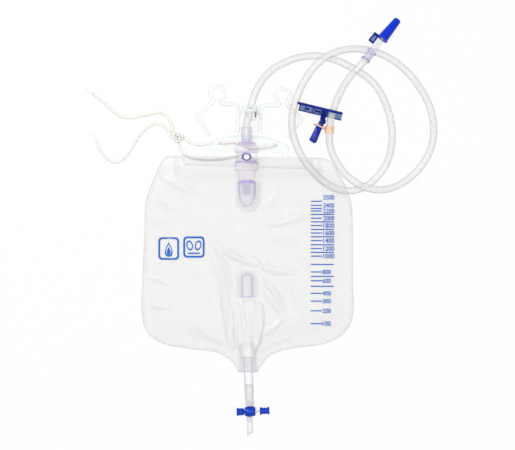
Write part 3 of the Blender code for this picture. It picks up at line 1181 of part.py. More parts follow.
def make_band():
    """The rubber band: wound round the tube, and looped over both of the clip's levers."""
    path = tube_path()
    before, after = next((a, b) for a, b in zip(path, path[1:])
                         if 0.080 < a.x < 0.100 and a.y <= BAND_RING_Y < b.y)
    near = before.lerp(after, (BAND_RING_Y - before.y) / (after.y - before.y))
    along = (after - before).normalized()
    inner = TUBE_DIAMETER / 2 + GAP + 0.0001
    half = BAND_RING_LENGTH / 2
    outer = inner + BAND_RING_WALL
    profile = ((inner, -half), (outer - 0.0005, -half), (outer, -half + 0.0012), (outer - 0.0005, -0.0003),
               (outer - 0.0005, 0.0003), (outer, half - 0.0012), (outer - 0.0005, half), (inner, half))
    band = turned("rubber_band", profile, near, along, PEACH, 14)
    frame = clip_frame()
    turn = Matrix.Rotation(HANDLE_SKEW, 2)
    middle = turn @ Vector((0, -0.0062)) + Vector((CLIP_NECK_U + HANDLE_SHIFT, CLIP_PIN_V))
    side = turn @ Vector((1, 0))
    reach = HANDLE_WIDTH / 2 + BAND_RADIUS + 0.0012
    low, high = -BAND_RADIUS - GAP, CLIP_PIN_W + HANDLE_RAISE + 0.0036
    near_side = reach - 0.0015
    corners = ((-reach, low + 0.002), (-near_side, low), (near_side, low), (reach, low + 0.002),
               (reach, high - 0.002), (near_side, high), (-near_side, high), (-reach, high - 0.002))
    loop = [frame @ Vector((*(middle + side * u), w)) for u, w in corners]
    combine(band, baked(rod("band_loop", loop, BAND_RADIUS, None, None, 1, True)), "UNION")
    right = frame @ Vector((*(middle + side * reach), 0.005))
    for shift in (-0.0018, 0.0018):
        target = near + along * shift
        inward = (right - target).normalized() * (TUBE_DIAMETER / 2 + GAP + 0.0009)
        start = right + Vector((0, 0, shift))
        combine(band, baked(rod("band_link", [start, (start + target + inward) / 2, target + inward],
                                BAND_RADIUS * 0.9, None, None, 1)), "UNION")
    baked(band)


# The string

def lay(route):
    """A route on the table, in metres."""
    return [Vector((x * MM, y * MM, STRING_REST_Z)) for x, y in route]


def string_run(name, route):
    """A plain stretch of the string."""
    rod(name, smooth_path(route, 2.6 * STRING_DIAMETER), STRING_DIAMETER / 2, STRING)


def hole_place(side):
    """Where the string passes through the hanger's plate."""
    return hanger_frame() @ Vector((side * STRING_HOLE_U, STRING_HOLE_V, 0))


def make_string():
    radius = STRING_DIAMETER / 2
    for name, route in (("string_tail_a", TAIL_A_MM), ("string_tail_b", TAIL_B_MM)):
        points = lay(route)
        string_run(name, points)
        along = (points[-1] - points[-2]).normalized()
        tip = ((0, GAP), (radius, GAP), (radius + STRING_TIP_WALL * 0.2, 0.0012),
               (radius * 0.8, STRING_TIP_LENGTH), (0, STRING_TIP_LENGTH))
        turned(name.replace("tail", "tip"), tip, points[-1], along, STRING_TIP, 10)
    string_run("string_strand_left", lay(LEFT_STRAND_MM))
    string_run("string_strand_right", lay(RIGHT_STRAND_MM))
    make_front_run()
    knot = []
    for i in range(30):
        t = 2 * math.pi * i / 30
        ring = 2 + math.cos(3 * t)
        reach = 3 + KNOT_ROPE_RADIUS / 0.0019
        knot.append(Vector((KNOT_CENTRE.x + ring * math.cos(2 * t) * KNOT_LENGTH / 2 / reach,
                            KNOT_CENTRE.y + ring * math.sin(2 * t) * KNOT_WIDTH / 2 / reach,
                            0.0040 + 0.0023 * math.sin(3 * t))))
    rod("string_knot", knot, KNOT_ROPE_RADIUS, STRING, None, 1, True)


def make_front_run():
    """The stretch across the front of the hanger's plate, down through a hole at each end."""
    left, right = hole_place(-1), hole_place(1)
    top = HANGER_TOP + GAP + STRING_DIAMETER / 2
    low = STRING_REST_Z
    middle = (low + top) / 2 + 0.0003
    route = [(left.x - 0.0066, left.y, low), (left.x - 0.0030, left.y, low + 0.0001),
             (left.x - 0.0011, left.y, low + 0.0012), (left.x - 0.0001, left.y, middle),
             (left.x + 0.0009, left.y + 0.0001, top - 0.0011),
             (left.x + 0.0030, left.y + 0.0003, top + 0.0003),
             (-0.0200, 0.1325, top), (-0.0115, 0.1318, top), (-0.0060, 0.1290, top), (0.0, 0.1272, top),
             (0.0060, 0.1264, top), (0.0135, 0.1264, top), (right.x - 0.0095, right.y - 0.0018, top),
             (right.x - 0.0028, right.y - 0.0003, top + 0.0002), (right.x - 0.0005, right.y, top - 0.0010),
             (right.x + 0.0002, right.y, middle), (right.x - 0.0004, right.y, low + 0.0012),
             (right.x - 0.0022, right.y, low + 0.0001), (right.x - 0.0048, right.y - 0.0001, low)]
    points = smooth_path(route, 0.0016)
    last = len(points) - 1
    kept = [p for i, p in enumerate(points) if i % 4 == 0 or not -0.022 < p.x < 0.024 or i == last]
    rod("string_front_run", kept, STRING_DIAMETER / 2, STRING)


clear_scene()
PARTS = new_collection("urine_drainage_bag")
TOOLS = new_collection("cutters")
TOOLS.hide_render = True

CLEAR_FILM = plastic("clear_film", (0.92, 0.92, 0.93), 0.25, 0.6)
MOULDED_WHITE = plastic("moulded_white", (0.90, 0.93, 0.91), 0.35, 0.9)
CLEAR_VIOLET = plastic("clear_violet", (0.78, 0.74, 0.93), 0.15, 0.6)
DARK_VIOLET = plastic("dark_violet", (0.38, 0.30, 0.68), 0.2)
SOFT_VIOLET = plastic("soft_violet", (0.60, 0.54, 0.88), 0.3, 0.8)
CLEAR_SLEEVE = plastic("clear_sleeve", (0.93, 0.93, 0.92), 0.2, 0.7)
TUBE_CLEAR = plastic("clear_tube", (0.90, 0.90, 0.89), 0.2, 0.8)
BLUE = plastic("blue", (0.0, 0.03, 0.60), 0.25)
DARK_BLUE = plastic("dark_blue", (0.01, 0.03, 0.30), 0.3)
WHITE = plastic("white", (0.95, 0.95, 0.93), 0.3)
WHITE_FILTER = plastic("white_filter", (0.96, 0.96, 0.97), 0.9)
BLACK_RUBBER = plastic("black_rubber", (0.03, 0.03, 0.03), 0.5)
PEACH = plastic("peach_rubber", (0.98, 0.66, 0.38), 0.5)
STEEL = plastic("steel", (0.6, 0.6, 0.62), 0.3, metallic=1.0)
STRING = plastic("string", (0.93, 0.92, 0.86), 0.9)
STRING_TIP = plastic("string_tip", (0.95, 0.95, 0.92), 0.3)

make_films()
make_hanger()
make_inlet_cap()
make_chamber()
make_boot()
make_pocket()
make_outlet()
make_tube()
make_connector()
make_clip()
make_band()
make_string()
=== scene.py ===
"""Looks of a urine drainage bag that lies on its back on a pale table, seen from straight above.

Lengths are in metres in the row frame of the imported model: +X across the bag, +Y towards its
hanger, +Z up. Routes of the cords, creases of the film and lines that end in _mm are in millimetres.
"""

import logging
import math
from dataclasses import dataclass
from enum import Enum
from functools import cache

import bmesh
import bpy
import numpy as np
from mathutils import Matrix, Vector, noise
from mathutils.geometry import delaunay_2d_cdt


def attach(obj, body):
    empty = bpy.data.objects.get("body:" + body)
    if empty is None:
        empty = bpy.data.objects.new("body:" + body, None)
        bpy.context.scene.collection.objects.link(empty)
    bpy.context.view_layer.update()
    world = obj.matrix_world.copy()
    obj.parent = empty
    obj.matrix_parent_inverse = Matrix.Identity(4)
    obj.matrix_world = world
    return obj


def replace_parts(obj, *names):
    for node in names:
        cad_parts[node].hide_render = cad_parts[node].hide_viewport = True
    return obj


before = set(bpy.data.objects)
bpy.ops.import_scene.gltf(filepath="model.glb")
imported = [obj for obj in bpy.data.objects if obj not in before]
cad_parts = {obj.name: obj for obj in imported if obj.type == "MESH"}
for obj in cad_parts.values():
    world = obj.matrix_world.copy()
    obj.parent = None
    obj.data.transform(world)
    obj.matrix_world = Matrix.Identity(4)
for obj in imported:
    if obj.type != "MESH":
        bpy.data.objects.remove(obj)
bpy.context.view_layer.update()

LOG = logging.getLogger("drainage_bag")
MM = 0.001
GAP = 0.0003
Triple = tuple[float, float, float]
Colour = Triple
Pairs = tuple[tuple[float, float], ...]
Outline = list[tuple[float, float]]
Grid = np.ndarray
CREASE_MASK = "fold_milk"  # the film's vertex attribute: 0 smooth, 1 the top of a crease
RIM_MASK = "thick_rim"  # the clear mouldings' vertex attribute: 1 on a rim that shows its tint
X, Y, Z = Vector((1, 0, 0)), Vector((0, 1, 0)), Vector((0, 0, 1))


class Body(str, Enum):
    """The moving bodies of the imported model."""

    BAG = "bag"
    PLUNGER = "plunger"
    CLIP_LEVER = "clip_lever"


def smooth01(value: Grid | float) -> Grid:
    """0 below 0, 1 above 1, and smooth between."""
    value = np.clip(value, 0.0, 1.0)
    return value * value * (3 - 2 * value)


def angles(steps: int, span: float = 2 * math.pi) -> list[float]:
    """Angles at even steps, without the end of the span."""
    return [span * i / steps for i in range(steps)]


def smooth_path(route: list[Vector], step: float) -> list[Vector]:
    """Points at even steps along the centripetal Catmull-Rom curve through a route.

    Args:
        route: the points that the curve passes through.
        step: distance between the points that come back.

    Returns:
        The evenly spaced points, first and last of the route included.
    """
    ends = [2 * route[0] - route[1], *route, 2 * route[-1] - route[-2]]
    dense: list[Vector] = []
    for a, b, c, d in zip(ends, ends[1:], ends[2:], ends[3:]):
        t1 = max((b - a).length, 1e-9) ** 0.5
        t2 = t1 + max((c - b).length, 1e-9) ** 0.5
        t3 = t2 + max((d - c).length, 1e-9) ** 0.5
        for i in range(16):
            t = t1 + (t2 - t1) * i / 16
            ab, bc, cd = a.lerp(b, t / t1), b.lerp(c, (t - t1) / (t2 - t1)), c.lerp(d, (t - t2) / (t3 - t2))
            dense.append(ab.lerp(bc, t / t2).lerp(bc.lerp(cd, (t - t1) / (t3 - t1)), (t - t1) / (t2 - t1)))
    dense.append(route[-1])
    xyz = np.array(dense)
    lengths = np.concatenate([[0], np.cumsum(np.linalg.norm(np.diff(xyz, axis=0), axis=1))])
    wanted = np.linspace(0, lengths[-1], max(2, round(lengths[-1] / step)) + 1)
    return [Vector(p) for p in np.stack([np.interp(wanted, lengths, xyz[:, k]) for k in range(xyz.shape[1])], 1)]


def path_length(points: list[Vector]) -> float:
    """Length of a line through points."""
    return sum((b - a).length for a, b in zip(points, points[1:]))


def on_scene(name: str, data: bpy.types.ID) -> bpy.types.Object:
    """A new object in the scene."""
    obj = bpy.data.objects.new(name, data)
    bpy.context.scene.collection.objects.link(obj)
    return obj


def riding(name: str, mesh: bpy.types.Mesh, finish: "Finish", body: Body = Body.BAG,
           nodes: tuple[str, ...] = ()) -> bpy.types.Object:
    """Puts a finished mesh in the scene as a piece that rides on a body.

    Args:
        name: the piece's name.
        mesh: its mesh, in the row frame.
        finish: what it is made of, unless the mesh has its own materials.
        body: what it rides on.
        nodes: the CAD nodes that it stands for.

    Returns:
        The new object.
    """
    if not mesh.materials:
        mesh.materials.append(finish.material())
    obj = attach(on_scene(name, mesh), body.value)
    LOG.info("%s: %d faces", name, len(mesh.polygons))
    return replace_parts(obj, *nodes) if nodes else obj


def smooth_shaded(mesh: bpy.types.Mesh, sharp_degrees: float) -> bpy.types.Mesh:
    """Shades a mesh smooth, apart from edges sharper than an angle."""
    mesh.shade_smooth()
    mesh.set_sharp_from_angle(angle=math.radians(sharp_degrees))
    return mesh


def applied(obj: bpy.types.Object) -> bpy.types.Mesh:
    """The plain mesh that an object shows, after which the object is gone."""
    bpy.context.view_layer.update()
    mesh = bpy.data.meshes.new_from_object(obj.evaluated_get(bpy.context.evaluated_depsgraph_get()))
    mesh.name = obj.name
    bpy.data.objects.remove(obj, do_unlink=True)
    return mesh


def skin(name: str, rings: list[list[Vector]], sharp: float, looped: bool = False,
         rims: list[float] | None = None) -> bpy.types.Mesh:
    """A closed mesh over rings of equally many points.

    Args:
        name: the mesh's name.
        rings: the rings, one after another.
        sharp: edges sharper than this stay sharp, in degrees.
        looped: whether the last ring joins the first; otherwise both ends are flat.
        rims: how much each ring shows its tint; points that meet are joined.

    Returns:
        The mesh.
    """
    body = bmesh.new()
    mask = body.verts.layers.float.new(RIM_MASK) if rims else None
    made = [[body.verts.new(point) for point in ring] for ring in rings]
    for ring, rim in zip(made, rims or []):
        for vertex in ring:
            vertex[mask] = rim
    steps = len(rings[0])
    for first, second in zip(made, made[1:] + made[:1] if looped else made[1:]):
        if all((ring[0].co - ring[1].co).length < 1e-9 for ring in (first, second)):
            continue
        for i in range(steps):
            j = (i + 1) % steps
            body.faces.new((first[i], first[j], second[j], second[i]))
    if not looped:
        body.faces.new(made[0])
        body.faces.new(made[-1][::-1])
    if rims:
        bmesh.ops.remove_doubles(body, verts=body.verts, dist=1e-7)
    bmesh.ops.recalc_face_normals(body, faces=body.faces)
    mesh = bpy.data.meshes.new(name)
    body.to_mesh(mesh)
    body.free()
    return smooth_shaded(mesh, sharp)


def sweep(name: str, path: list[Vector], radius: float, sides: int) -> bpy.types.Mesh:
    """A round bar along a line."""
    tangents = [(path[min(i + 1, len(path) - 1)] - path[max(i - 1, 0)]).normalized() for i in range(len(path))]
    across = tangents[0].orthogonal().normalized()
    rings = []
    for point, along in zip(path, tangents):
        across = (across - along * across.dot(along)).normalized()
        side = along.cross(across)
        rings.append([point + (across * math.cos(a) + side * math.sin(a)) * radius for a in angles(sides)])
    return skin(name, rings, 50)


def turned(name: str, profile: list[tuple[float, ...]], origin: Vector, along: Vector, steps: int,
           oval: tuple[float, float] = (1.0, 1.0), keep: float = 0.0) -> bpy.types.Mesh:
    """A piece turned on a lathe.

    Args:
        name: the mesh's name.
        profile: the closed outline of its section: radius, distance along the axis and, where
            the rim shows its tint, how much.
        origin: where the axis starts.
        along: the way that distance runs.
        steps: points round the axis.
        oval: how far its front and its back are flattened.
        keep: radius within which it stays round.

    Returns:
        The closed mesh, with its rim attribute.
    """
    along = Vector(along).normalized()
    across = X if abs(along.x) < 0.9 else Y
    across = (across - along * across.dot(along)).normalized()
    up = across.cross(along)
    rings, rims = [], []
    for radius, at, *rim in profile:
        squash = (1.0, 1.0) if radius <= keep else oval
        rings.append([Vector(origin) + along * at + across * radius * math.cos(a)
                      + up * radius * math.sin(a) * squash[math.sin(a) < 0] for a in angles(steps)])
        rims.append(rim[0] if rim else 0.0)
    return skin(name, rings, 40, True, rims)


def add_line(curve: bpy.types.Curve, points: list[tuple[float, ...]], closed: bool = True) -> None:
    """Adds a line through points, flat or not, to a curve."""
    spline = curve.splines.new("POLY")
    spline.points.add(len(points) - 1)
    spline.points.foreach_set("co", [c for x, y, *z in points for c in (x, y, z[0] if z else 0, 1)])
    spline.use_cyclic_u = closed


def flat_curve(name: str, outlines: list[Outline], height: float, soften: float = 0.0) -> bpy.types.Mesh:
    """The mesh of a flat plate round its middle plane, whose inner outlines are its holes."""
    curve = bpy.data.curves.new(name, "CURVE")
    curve.dimensions, curve.fill_mode = "2D", "BOTH"
    curve.extrude = height / 2 - soften
    if soften:
        curve.bevel_depth, curve.bevel_resolution, curve.offset = soften, 1, -soften
    for outline in outlines:
        add_line(curve, outline)
    return applied(on_scene(name, curve))


def plate(name: str, outlines: list[Outline], low: float, high: float, soften: float = 0.0002,
          place: Matrix | None = None) -> bpy.types.Mesh:
    """A flat plate with softened edges between two heights.

    Args:
        name: the mesh's name.
        outlines: the outer outline, then the holes.
        low: its underside.
        high: its top.
        soften: radius of its edges.
        place: where its own frame lies.

    Returns:
        The closed mesh.
    """
    mesh = flat_curve(name, outlines, high - low, soften)
    mesh.transform((place or Matrix()) @ Matrix.Translation((0, 0, (low + high) / 2)))
    return smooth_shaded(mesh, 30)


def box(low: Triple, high: Triple, place: Matrix, soften: float = 0.0002) -> bpy.types.Mesh:
    """A block with softened edges between two corners."""
    (x0, y0, z0), (x1, y1, z1) = low, high
    return plate("block", [[(x0, y0), (x1, y0), (x1, y1), (x0, y1)]], z0, z1, soften, place)


def shell(name: str, rows: list[list[Triple]], rims: list[float], wall: float) -> bpy.types.Mesh:
    """A moulded skin over rows of points.

    Args:
        name: the mesh's name.
        rows: rows of equally many points.
        rims: how much each row shows its tint.
        wall: thickness, inwards from the points.

    Returns:
        The closed mesh.
    """
    width = len(rows[0])
    faces = [(r * width + c, r * width + c + 1, (r + 1) * width + c + 1, (r + 1) * width + c)
             for r in range(len(rows) - 1) for c in range(width - 1)]
    mesh = bpy.data.meshes.new(name)
    mesh.from_pydata([point for row in rows for point in row], [], faces)
    mesh.attributes.new(RIM_MASK, "FLOAT", "POINT").data.foreach_set("value", np.repeat(rims, width))
    obj = on_scene(name, mesh)
    thicken(obj, wall, -1)
    return smooth_shaded(applied(obj), 40)


def thicken(obj: bpy.types.Object, wall: float, side: int) -> None:
    """Gives a skin its wall, to one side of its points."""
    skin_wall = obj.modifiers.new("wall", "SOLIDIFY")
    skin_wall.thickness, skin_wall.offset = wall, side


def loft(name: str, stations: list[tuple[Vector, float, float]], side: Vector, up: Vector,
         corner: float) -> bpy.types.Mesh:
    """A bar through oval or rounded sections that all face the same way.

    Args:
        name: the mesh's name.
        stations: middle, half width and half height of each section.
        side: the way that the width runs.
        up: the way that the height runs.
        corner: 2 for an oval, more for a squarer section.

    Returns:
        The closed mesh.
    """
    def bent(value: float) -> float:
        """A cosine or sine, bent towards the corners."""
        return math.copysign(abs(value) ** (2 / corner), value)

    rings = [[middle + side * wide * bent(math.cos(a)) + up * high * bent(math.sin(a)) for a in angles(24)]
             for middle, wide, high in stations]
    return skin(name, rings, 50)


def piece(name: str, node: str, parts: list[tuple[bpy.types.Mesh, "Finish"]],
          body: Body = Body.BAG) -> bpy.types.Object:
    """Joins finished meshes to one piece that stands for a CAD node.

    Args:
        name: the piece's name.
        node: the CAD node that it stands for.
        parts: its meshes, each with its finish.
        body: what it rides on.

    Returns:
        The piece.
    """
    whole, mesh = bmesh.new(), bpy.data.meshes.new(name)
    for index, (part, finish) in enumerate(parts):
        first = len(whole.faces)
        whole.from_mesh(part)
        whole.faces.ensure_lookup_table()
        for face in whole.faces[first:]:
            face.material_index = index
        mesh.materials.append(finish.material())
        bpy.data.meshes.remove(part)
    whole.to_mesh(mesh)
    whole.free()
    return riding(name, mesh, parts[0][1], body, (node,))


def node_group(name: str, kind: str, inputs: dict[str, tuple[str, object]],
               outputs: dict[str, tuple[str, object]]) -> bpy.types.NodeTree:
    """An empty node group with named sockets and with nodes named "in" and "out".

    Args:
        name: the group's name.
        kind: "ShaderNodeTree" or "GeometryNodeTree".
        inputs: socket name to the end of its type's name and its default value.
        outputs: the same for what it gives.

    Returns:
        The group.
    """
    tree = bpy.data.node_groups.new(name, kind)
    for way, sockets in (("INPUT", inputs), ("OUTPUT", outputs)):
        for label, (socket_type, value) in sockets.items():
            socket = tree.interface.new_socket(label, in_out=way, socket_type="NodeSocket" + socket_type)
            if value is not None:
                socket.default_value = value
    tree.nodes.new("NodeGroupInput").name = "in"
    tree.nodes.new("NodeGroupOutput").name = "out"
    return tree


def plug(tree: bpy.types.NodeTree, node: bpy.types.Node, inputs: dict[str | int, object]) -> None:
    """Links or sets a node's inputs, by name."""
    for name, value in inputs.items():
        socket = node.inputs[name]
        if isinstance(value, bpy.types.NodeSocket):
            tree.links.new(value, socket)
        else:
            socket.default_value = (*value, 1) if socket.type == "RGBA" else value


def add(tree: bpy.types.NodeTree, kind: str, inputs: dict[str | int, object] | None = None,
        **settings: object) -> bpy.types.Node:
    """Adds a node.

    Args:
        tree: the tree that gets it.
        kind: its type.
        inputs: its inputs by name, as sockets or values.
        settings: its other settings.

    Returns:
        The node.
    """
    node = tree.nodes.new(kind)
    for name, value in settings.items():
        setattr(node, name, value)
    plug(tree, node, inputs or {})
    return node


def maths(tree: bpy.types.NodeTree, operation: str, *values: object) -> bpy.types.NodeSocket:
    """Adds a Math node over sockets or numbers, and gives its result."""
    return add(tree, "ShaderNodeMath", dict(enumerate(values)), operation=operation).outputs[0]


def mixed(tree: bpy.types.NodeTree, share: object, a: object, b: object) -> bpy.types.NodeSocket:
    """Adds a Mix node over two colours, and gives its result."""
    return add(tree, "ShaderNodeMix", {"Factor": share, "A": a, "B": b}, data_type="RGBA").outputs["Result"]


@cache
def moulded_grain() -> bpy.types.NodeTree:
    """The group that every moulded or drawn surface uses: cloudy tone, uneven gloss and fine relief."""
    white = ("Color", (1, 1, 1, 1))
    tree = node_group(
        "moulded_grain", "ShaderNodeTree",
        {"Position": ("Vector", None), "Base": white, "Deep": white, "Scale": ("Float", 120.0),
         "Gloss": ("Float", 0.3), "Uneven": ("Float", 0.1)},
        {"Color": ("Color", None), "Roughness": ("Float", None), "Height": ("Float", None)})
    given = tree.nodes["in"].outputs
    cloud = add(tree, "ShaderNodeTexNoise", {"Vector": given["Position"], "Scale": given["Scale"], "Detail": 3})
    fine = add(tree, "ShaderNodeTexNoise", {
        "Vector": given["Position"], "Scale": maths(tree, "MULTIPLY", given["Scale"], 7.0), "Detail": 2})
    spread = add(tree, "ShaderNodeMapRange", {
        "From Min": 0.35, "From Max": 0.65, "Value": cloud.outputs["Fac"]}).outputs["Result"]
    plug(tree, tree.nodes["out"], {
        "Color": mixed(tree, spread, given["Base"], given["Deep"]), "Height": fine.outputs["Fac"],
        "Roughness": maths(tree, "MULTIPLY_ADD", spread, given["Uneven"], given["Gloss"])})
    return tree


def blank_material(name: str) -> tuple[bpy.types.Material, bpy.types.NodeTree, bpy.types.Node]:
    """A new material, its node tree and its shader."""
    material = bpy.data.materials.new(name)
    material.use_nodes = True
    return material, material.node_tree, material.node_tree.nodes["Principled BSDF"]


def grained(tree: bpy.types.NodeTree, relief: float, **values: object) -> None:
    """Feeds a material's shader from the moulded grain.

    Args:
        tree: the material's node tree.
        relief: depth of the fine relief, in metres, or 0.
        values: the grain's inputs.
    """
    where = add(tree, "ShaderNodeTexCoord").outputs["Object"]
    grain = add(tree, "ShaderNodeGroup", {"Position": where, **values}, node_tree=moulded_grain()).outputs
    shader = tree.nodes["Principled BSDF"]
    plug(tree, shader, {"Base Color": grain["Color"], "Roughness": grain["Roughness"]})
    if relief:
        bump = add(tree, "ShaderNodeBump", {"Distance": relief, "Height": grain["Height"]})
        plug(tree, shader, {"Normal": bump.outputs["Normal"]})


def seen_aslant(tree: bpy.types.NodeTree) -> bpy.types.NodeSocket:
    """0 where a surface is seen face on, 1 where it is seen edge on."""
    return add(tree, "ShaderNodeLayerWeight", {"Blend": 0.5}).outputs["Facing"]


def between(tree: bpy.types.NodeTree, value: bpy.types.NodeSocket, low: float, high: float,
            clamp: bool = True) -> bpy.types.NodeSocket:
    """A value from 0 to 1 stretched to two others."""
    return add(tree, "ShaderNodeMapRange", {"To Min": low, "To Max": high, "Value": value},
               clamp=clamp).outputs["Result"]


def light_shadow(tree: bpy.types.NodeTree, alpha: bpy.types.NodeSocket) -> bpy.types.NodeSocket:
    """What clear plastic hides from the eye, and a fifth of it for the light on its way down."""
    shadow = add(tree, "ShaderNodeLightPath").outputs["Is Shadow Ray"]
    return maths(tree, "MULTIPLY", alpha, maths(tree, "SUBTRACT", 1.0, maths(tree, "MULTIPLY", shadow, 0.8)))


@dataclass(frozen=True)
class Plastic:
    """A moulded, drawn or welded plastic.

    Attributes:
        name: the material's name.
        base: main colour.
        deep: colour of its thicker or cloudier places.
        gloss: roughness.
        uneven: how much rougher the cloudy places are.
        scale: size of the cloudiness, per metre.
        relief: depth of the fine relief, in metres.
        alpha: how much of what is behind it the surface hides.
        coat: weight of the glossy skin.
        shine: how strongly it mirrors, where 0.5 is plain plastic.
    """

    name: str
    base: Colour
    deep: Colour
    gloss: float = 0.3
    uneven: float = 0.1
    scale: float = 120.0
    relief: float = 0.00002
    alpha: float = 1.0
    coat: float = 0.0
    shine: float = 0.5

    @cache
    def material(self) -> bpy.types.Material:
        """The finish as a material, built once."""
        material, tree, shader = blank_material(self.name)
        grained(tree, self.relief, Base=self.base, Deep=self.deep, Scale=self.scale, Gloss=self.gloss,
                Uneven=self.uneven)
        plug(tree, shader, {"Alpha": self.alpha, "Coat Weight": self.coat, "IOR": 1.46,
                            "Specular IOR Level": self.shine})
        material.diffuse_color = (*self.base, self.alpha)
        return material


@dataclass(frozen=True)
class Film:
    """Thin welded sheet: nearly clear, milkier along its creases, and darker by painted shade on its steep slopes.

    Attributes:
        name: the material's name.
        base: colour of the sheet.
        alpha: how much a smooth stretch hides.
        crease_alpha: how much the top of a crease hides.
    """

    name: str
    base: Colour
    alpha: float
    crease_alpha: float

    @cache
    def material(self) -> bpy.types.Material:
        """The finish as a material, whose milkiness follows the slope and the mesh's crease attribute."""
        material, tree, shader = blank_material(self.name)
        crease = add(tree, "ShaderNodeAttribute", attribute_name=CREASE_MASK).outputs["Fac"]
        steep = maths(tree, "MINIMUM", maths(tree, "MULTIPLY", seen_aslant(tree), 2.8), 0.7)
        milk = between(tree, maths(tree, "ADD", crease, steep), self.alpha, self.crease_alpha, False)
        plug(tree, shader, {"Alpha": light_shadow(tree, maths(tree, "MAXIMUM", milk, 0.04))})
        # Painted shade: where the film is seen aslant, its colour is darkened towards 0.74 of the base.
        shaded, deep = (tuple(channel * share for channel in self.base) for share in (0.74, 0.96))
        grained(tree, 0.0001, Base=mixed(tree, steep, self.base, shaded), Deep=deep, Scale=30.0, Gloss=0.22,
                Uneven=0.12)
        return material


@dataclass(frozen=True)
class ClearMoulding:
    """Clear tinted plastic: nearly invisible face on, and coloured where its wall is seen edge on.

    Attributes:
        name: the material's name.
        face: colour of a wall seen face on.
        edge: colour of a wall seen edge on, and of thick rims.
        face_alpha: how much a wall seen face on hides.
        edge_alpha: how much a wall seen edge on hides.
        sharpness: how narrow the coloured edge is.
        gloss: roughness.
    """

    name: str
    face: Colour
    edge: Colour
    face_alpha: float
    edge_alpha: float
    sharpness: float
    gloss: float = 0.10

    @cache
    def material(self) -> bpy.types.Material:
        """The finish as a material, whose rims follow the view and the mesh's rim attribute."""
        material, tree, shader = blank_material(self.name)
        rim = add(tree, "ShaderNodeAttribute", attribute_name=RIM_MASK).outputs["Fac"]
        edge = maths(tree, "MAXIMUM", maths(tree, "POWER", seen_aslant(tree), self.sharpness), rim)
        hidden = between(tree, edge, self.face_alpha, self.edge_alpha)
        plug(tree, shader, {"Alpha": light_shadow(tree, hidden)})
        tint = mixed(tree, edge, self.face, self.edge)
        grained(tree, 0.0, Base=tint, Deep=mixed(tree, 0.12, tint, self.edge), Scale=90.0, Gloss=self.gloss,
                Uneven=0.06)
        material.diffuse_color = (*self.face, self.face_alpha)
        return material


Finish = Plastic | Film | ClearMoulding

CLEAR_FILM = Film("clear_film", (0.82, 0.815, 0.82), 0.24, 0.62)
BACK_FILM = Film("clear_back_film", (0.82, 0.815, 0.82), 0.17, 0.34)
HANGER_WHITE = ClearMoulding("hanger_white", (0.84, 0.88, 0.86), (0.72, 0.80, 0.76), 0.36, 0.62, 1.4, 0.28)
# Painted shade: the dark blocks set in the hanger head's openings, where only shade falls.
HEAD_PAINTED_SHADE = Plastic("head_painted_shade", (0.30, 0.28, 0.26), (0.24, 0.22, 0.20), 0.6, alpha=0.75)
CHAMBER_VIOLET = ClearMoulding("chamber_violet", (0.93, 0.82, 0.88), (0.30, 0.18, 0.60), 0.12, 0.85, 2.6)
SOCKET_VIOLET = ClearMoulding("socket_violet", (0.93, 0.91, 0.97), (0.22, 0.16, 0.64), 0.06, 0.90, 1.5)
# Painted highlight: the flange's walls seen edge on turn more opaque and pure white.
FLANGE_CLEAR = ClearMoulding("flange_clear", (0.97, 0.97, 0.99), (1.0, 1.0, 1.0), 0.03, 0.60, 1.2)
BOOT_VIOLET = ClearMoulding("boot_violet", (1.0, 0.98, 1.0), (0.36, 0.27, 0.86), 0.04, 0.80, 1.8)
POCKET_VIOLET = ClearMoulding("pocket_violet", (1.0, 1.0, 1.0), (0.52, 0.46, 0.82), 0.04, 0.50, 1.0)
NECK_VIOLET = ClearMoulding("neck_violet", (0.97, 0.96, 1.0), (0.40, 0.32, 0.62), 0.04, 0.80, 0.8)
EDGE_VIOLET = Plastic("edge_violet", (0.10, 0.06, 0.48), (0.08, 0.05, 0.42), 0.12, 0.05, 90)
FLAP_VIOLET = Plastic("flap_violet", (0.46, 0.38, 0.78), (0.40, 0.32, 0.72), 0.3, 0.05, 90, alpha=0.12)
FILTER_WHITE = Plastic("filter_white", (0.90, 0.88, 0.90), (0.84, 0.80, 0.84), 0.9, 0.05, 900, 0.00008)
CONNECTOR_VIOLET = ClearMoulding("connector_violet", (0.90, 0.88, 0.94), (0.26, 0.22, 0.62), 0.06, 0.60, 1.8)
SLEEVE_CLEAR = ClearMoulding("sleeve_clear", (0.79, 0.775, 0.765), (0.38, 0.34, 0.40), 0.44, 0.80, 1.2)
SPOUT_CLEAR = ClearMoulding("spout_clear", (0.97, 0.97, 0.95), (0.46, 0.52, 0.47), 0.50, 0.80, 1.5)
TUBE_CLEAR = ClearMoulding("tube_clear", (0.79, 0.775, 0.77), (0.54, 0.525, 0.525), 0.48, 0.76, 2.0, 0.24)
BLUE = Plastic("valve_blue", (0.0, 0.050, 0.52), (0.0, 0.038, 0.43), 0.16, 0.04, 160, shine=0.35)
SPIGOT_BLUE = Plastic("spigot_blue", (0.30, 0.40, 0.78), (0.26, 0.36, 0.72), 0.3, alpha=0.25)
CAP_BLUE = Plastic("cap_blue", (0.0, 0.035, 0.66), (0.0, 0.028, 0.55), 0.2, 0.05, 160, shine=0.25)
LUG_BLUE = Plastic("lug_blue", (0.0, 0.010, 0.26), (0.0, 0.008, 0.20), 0.24, 0.05, 160, shine=0.2)
CLIP_BLUE = Plastic("clip_blue", (0.0, 0.012, 0.27), (0.0, 0.009, 0.22), 0.24, 0.08, 160, shine=0.25)
# Painted light: a brighter copy of the clip's blue for the front handle, as its lit side; the back handle stays dark.
HANDLE_LIT_BLUE = Plastic("handle_lit_blue", (0.0, 0.020, 0.40), (0.0, 0.015, 0.33), 0.10, 0.04, 160, shine=0.4, coat=0.2)
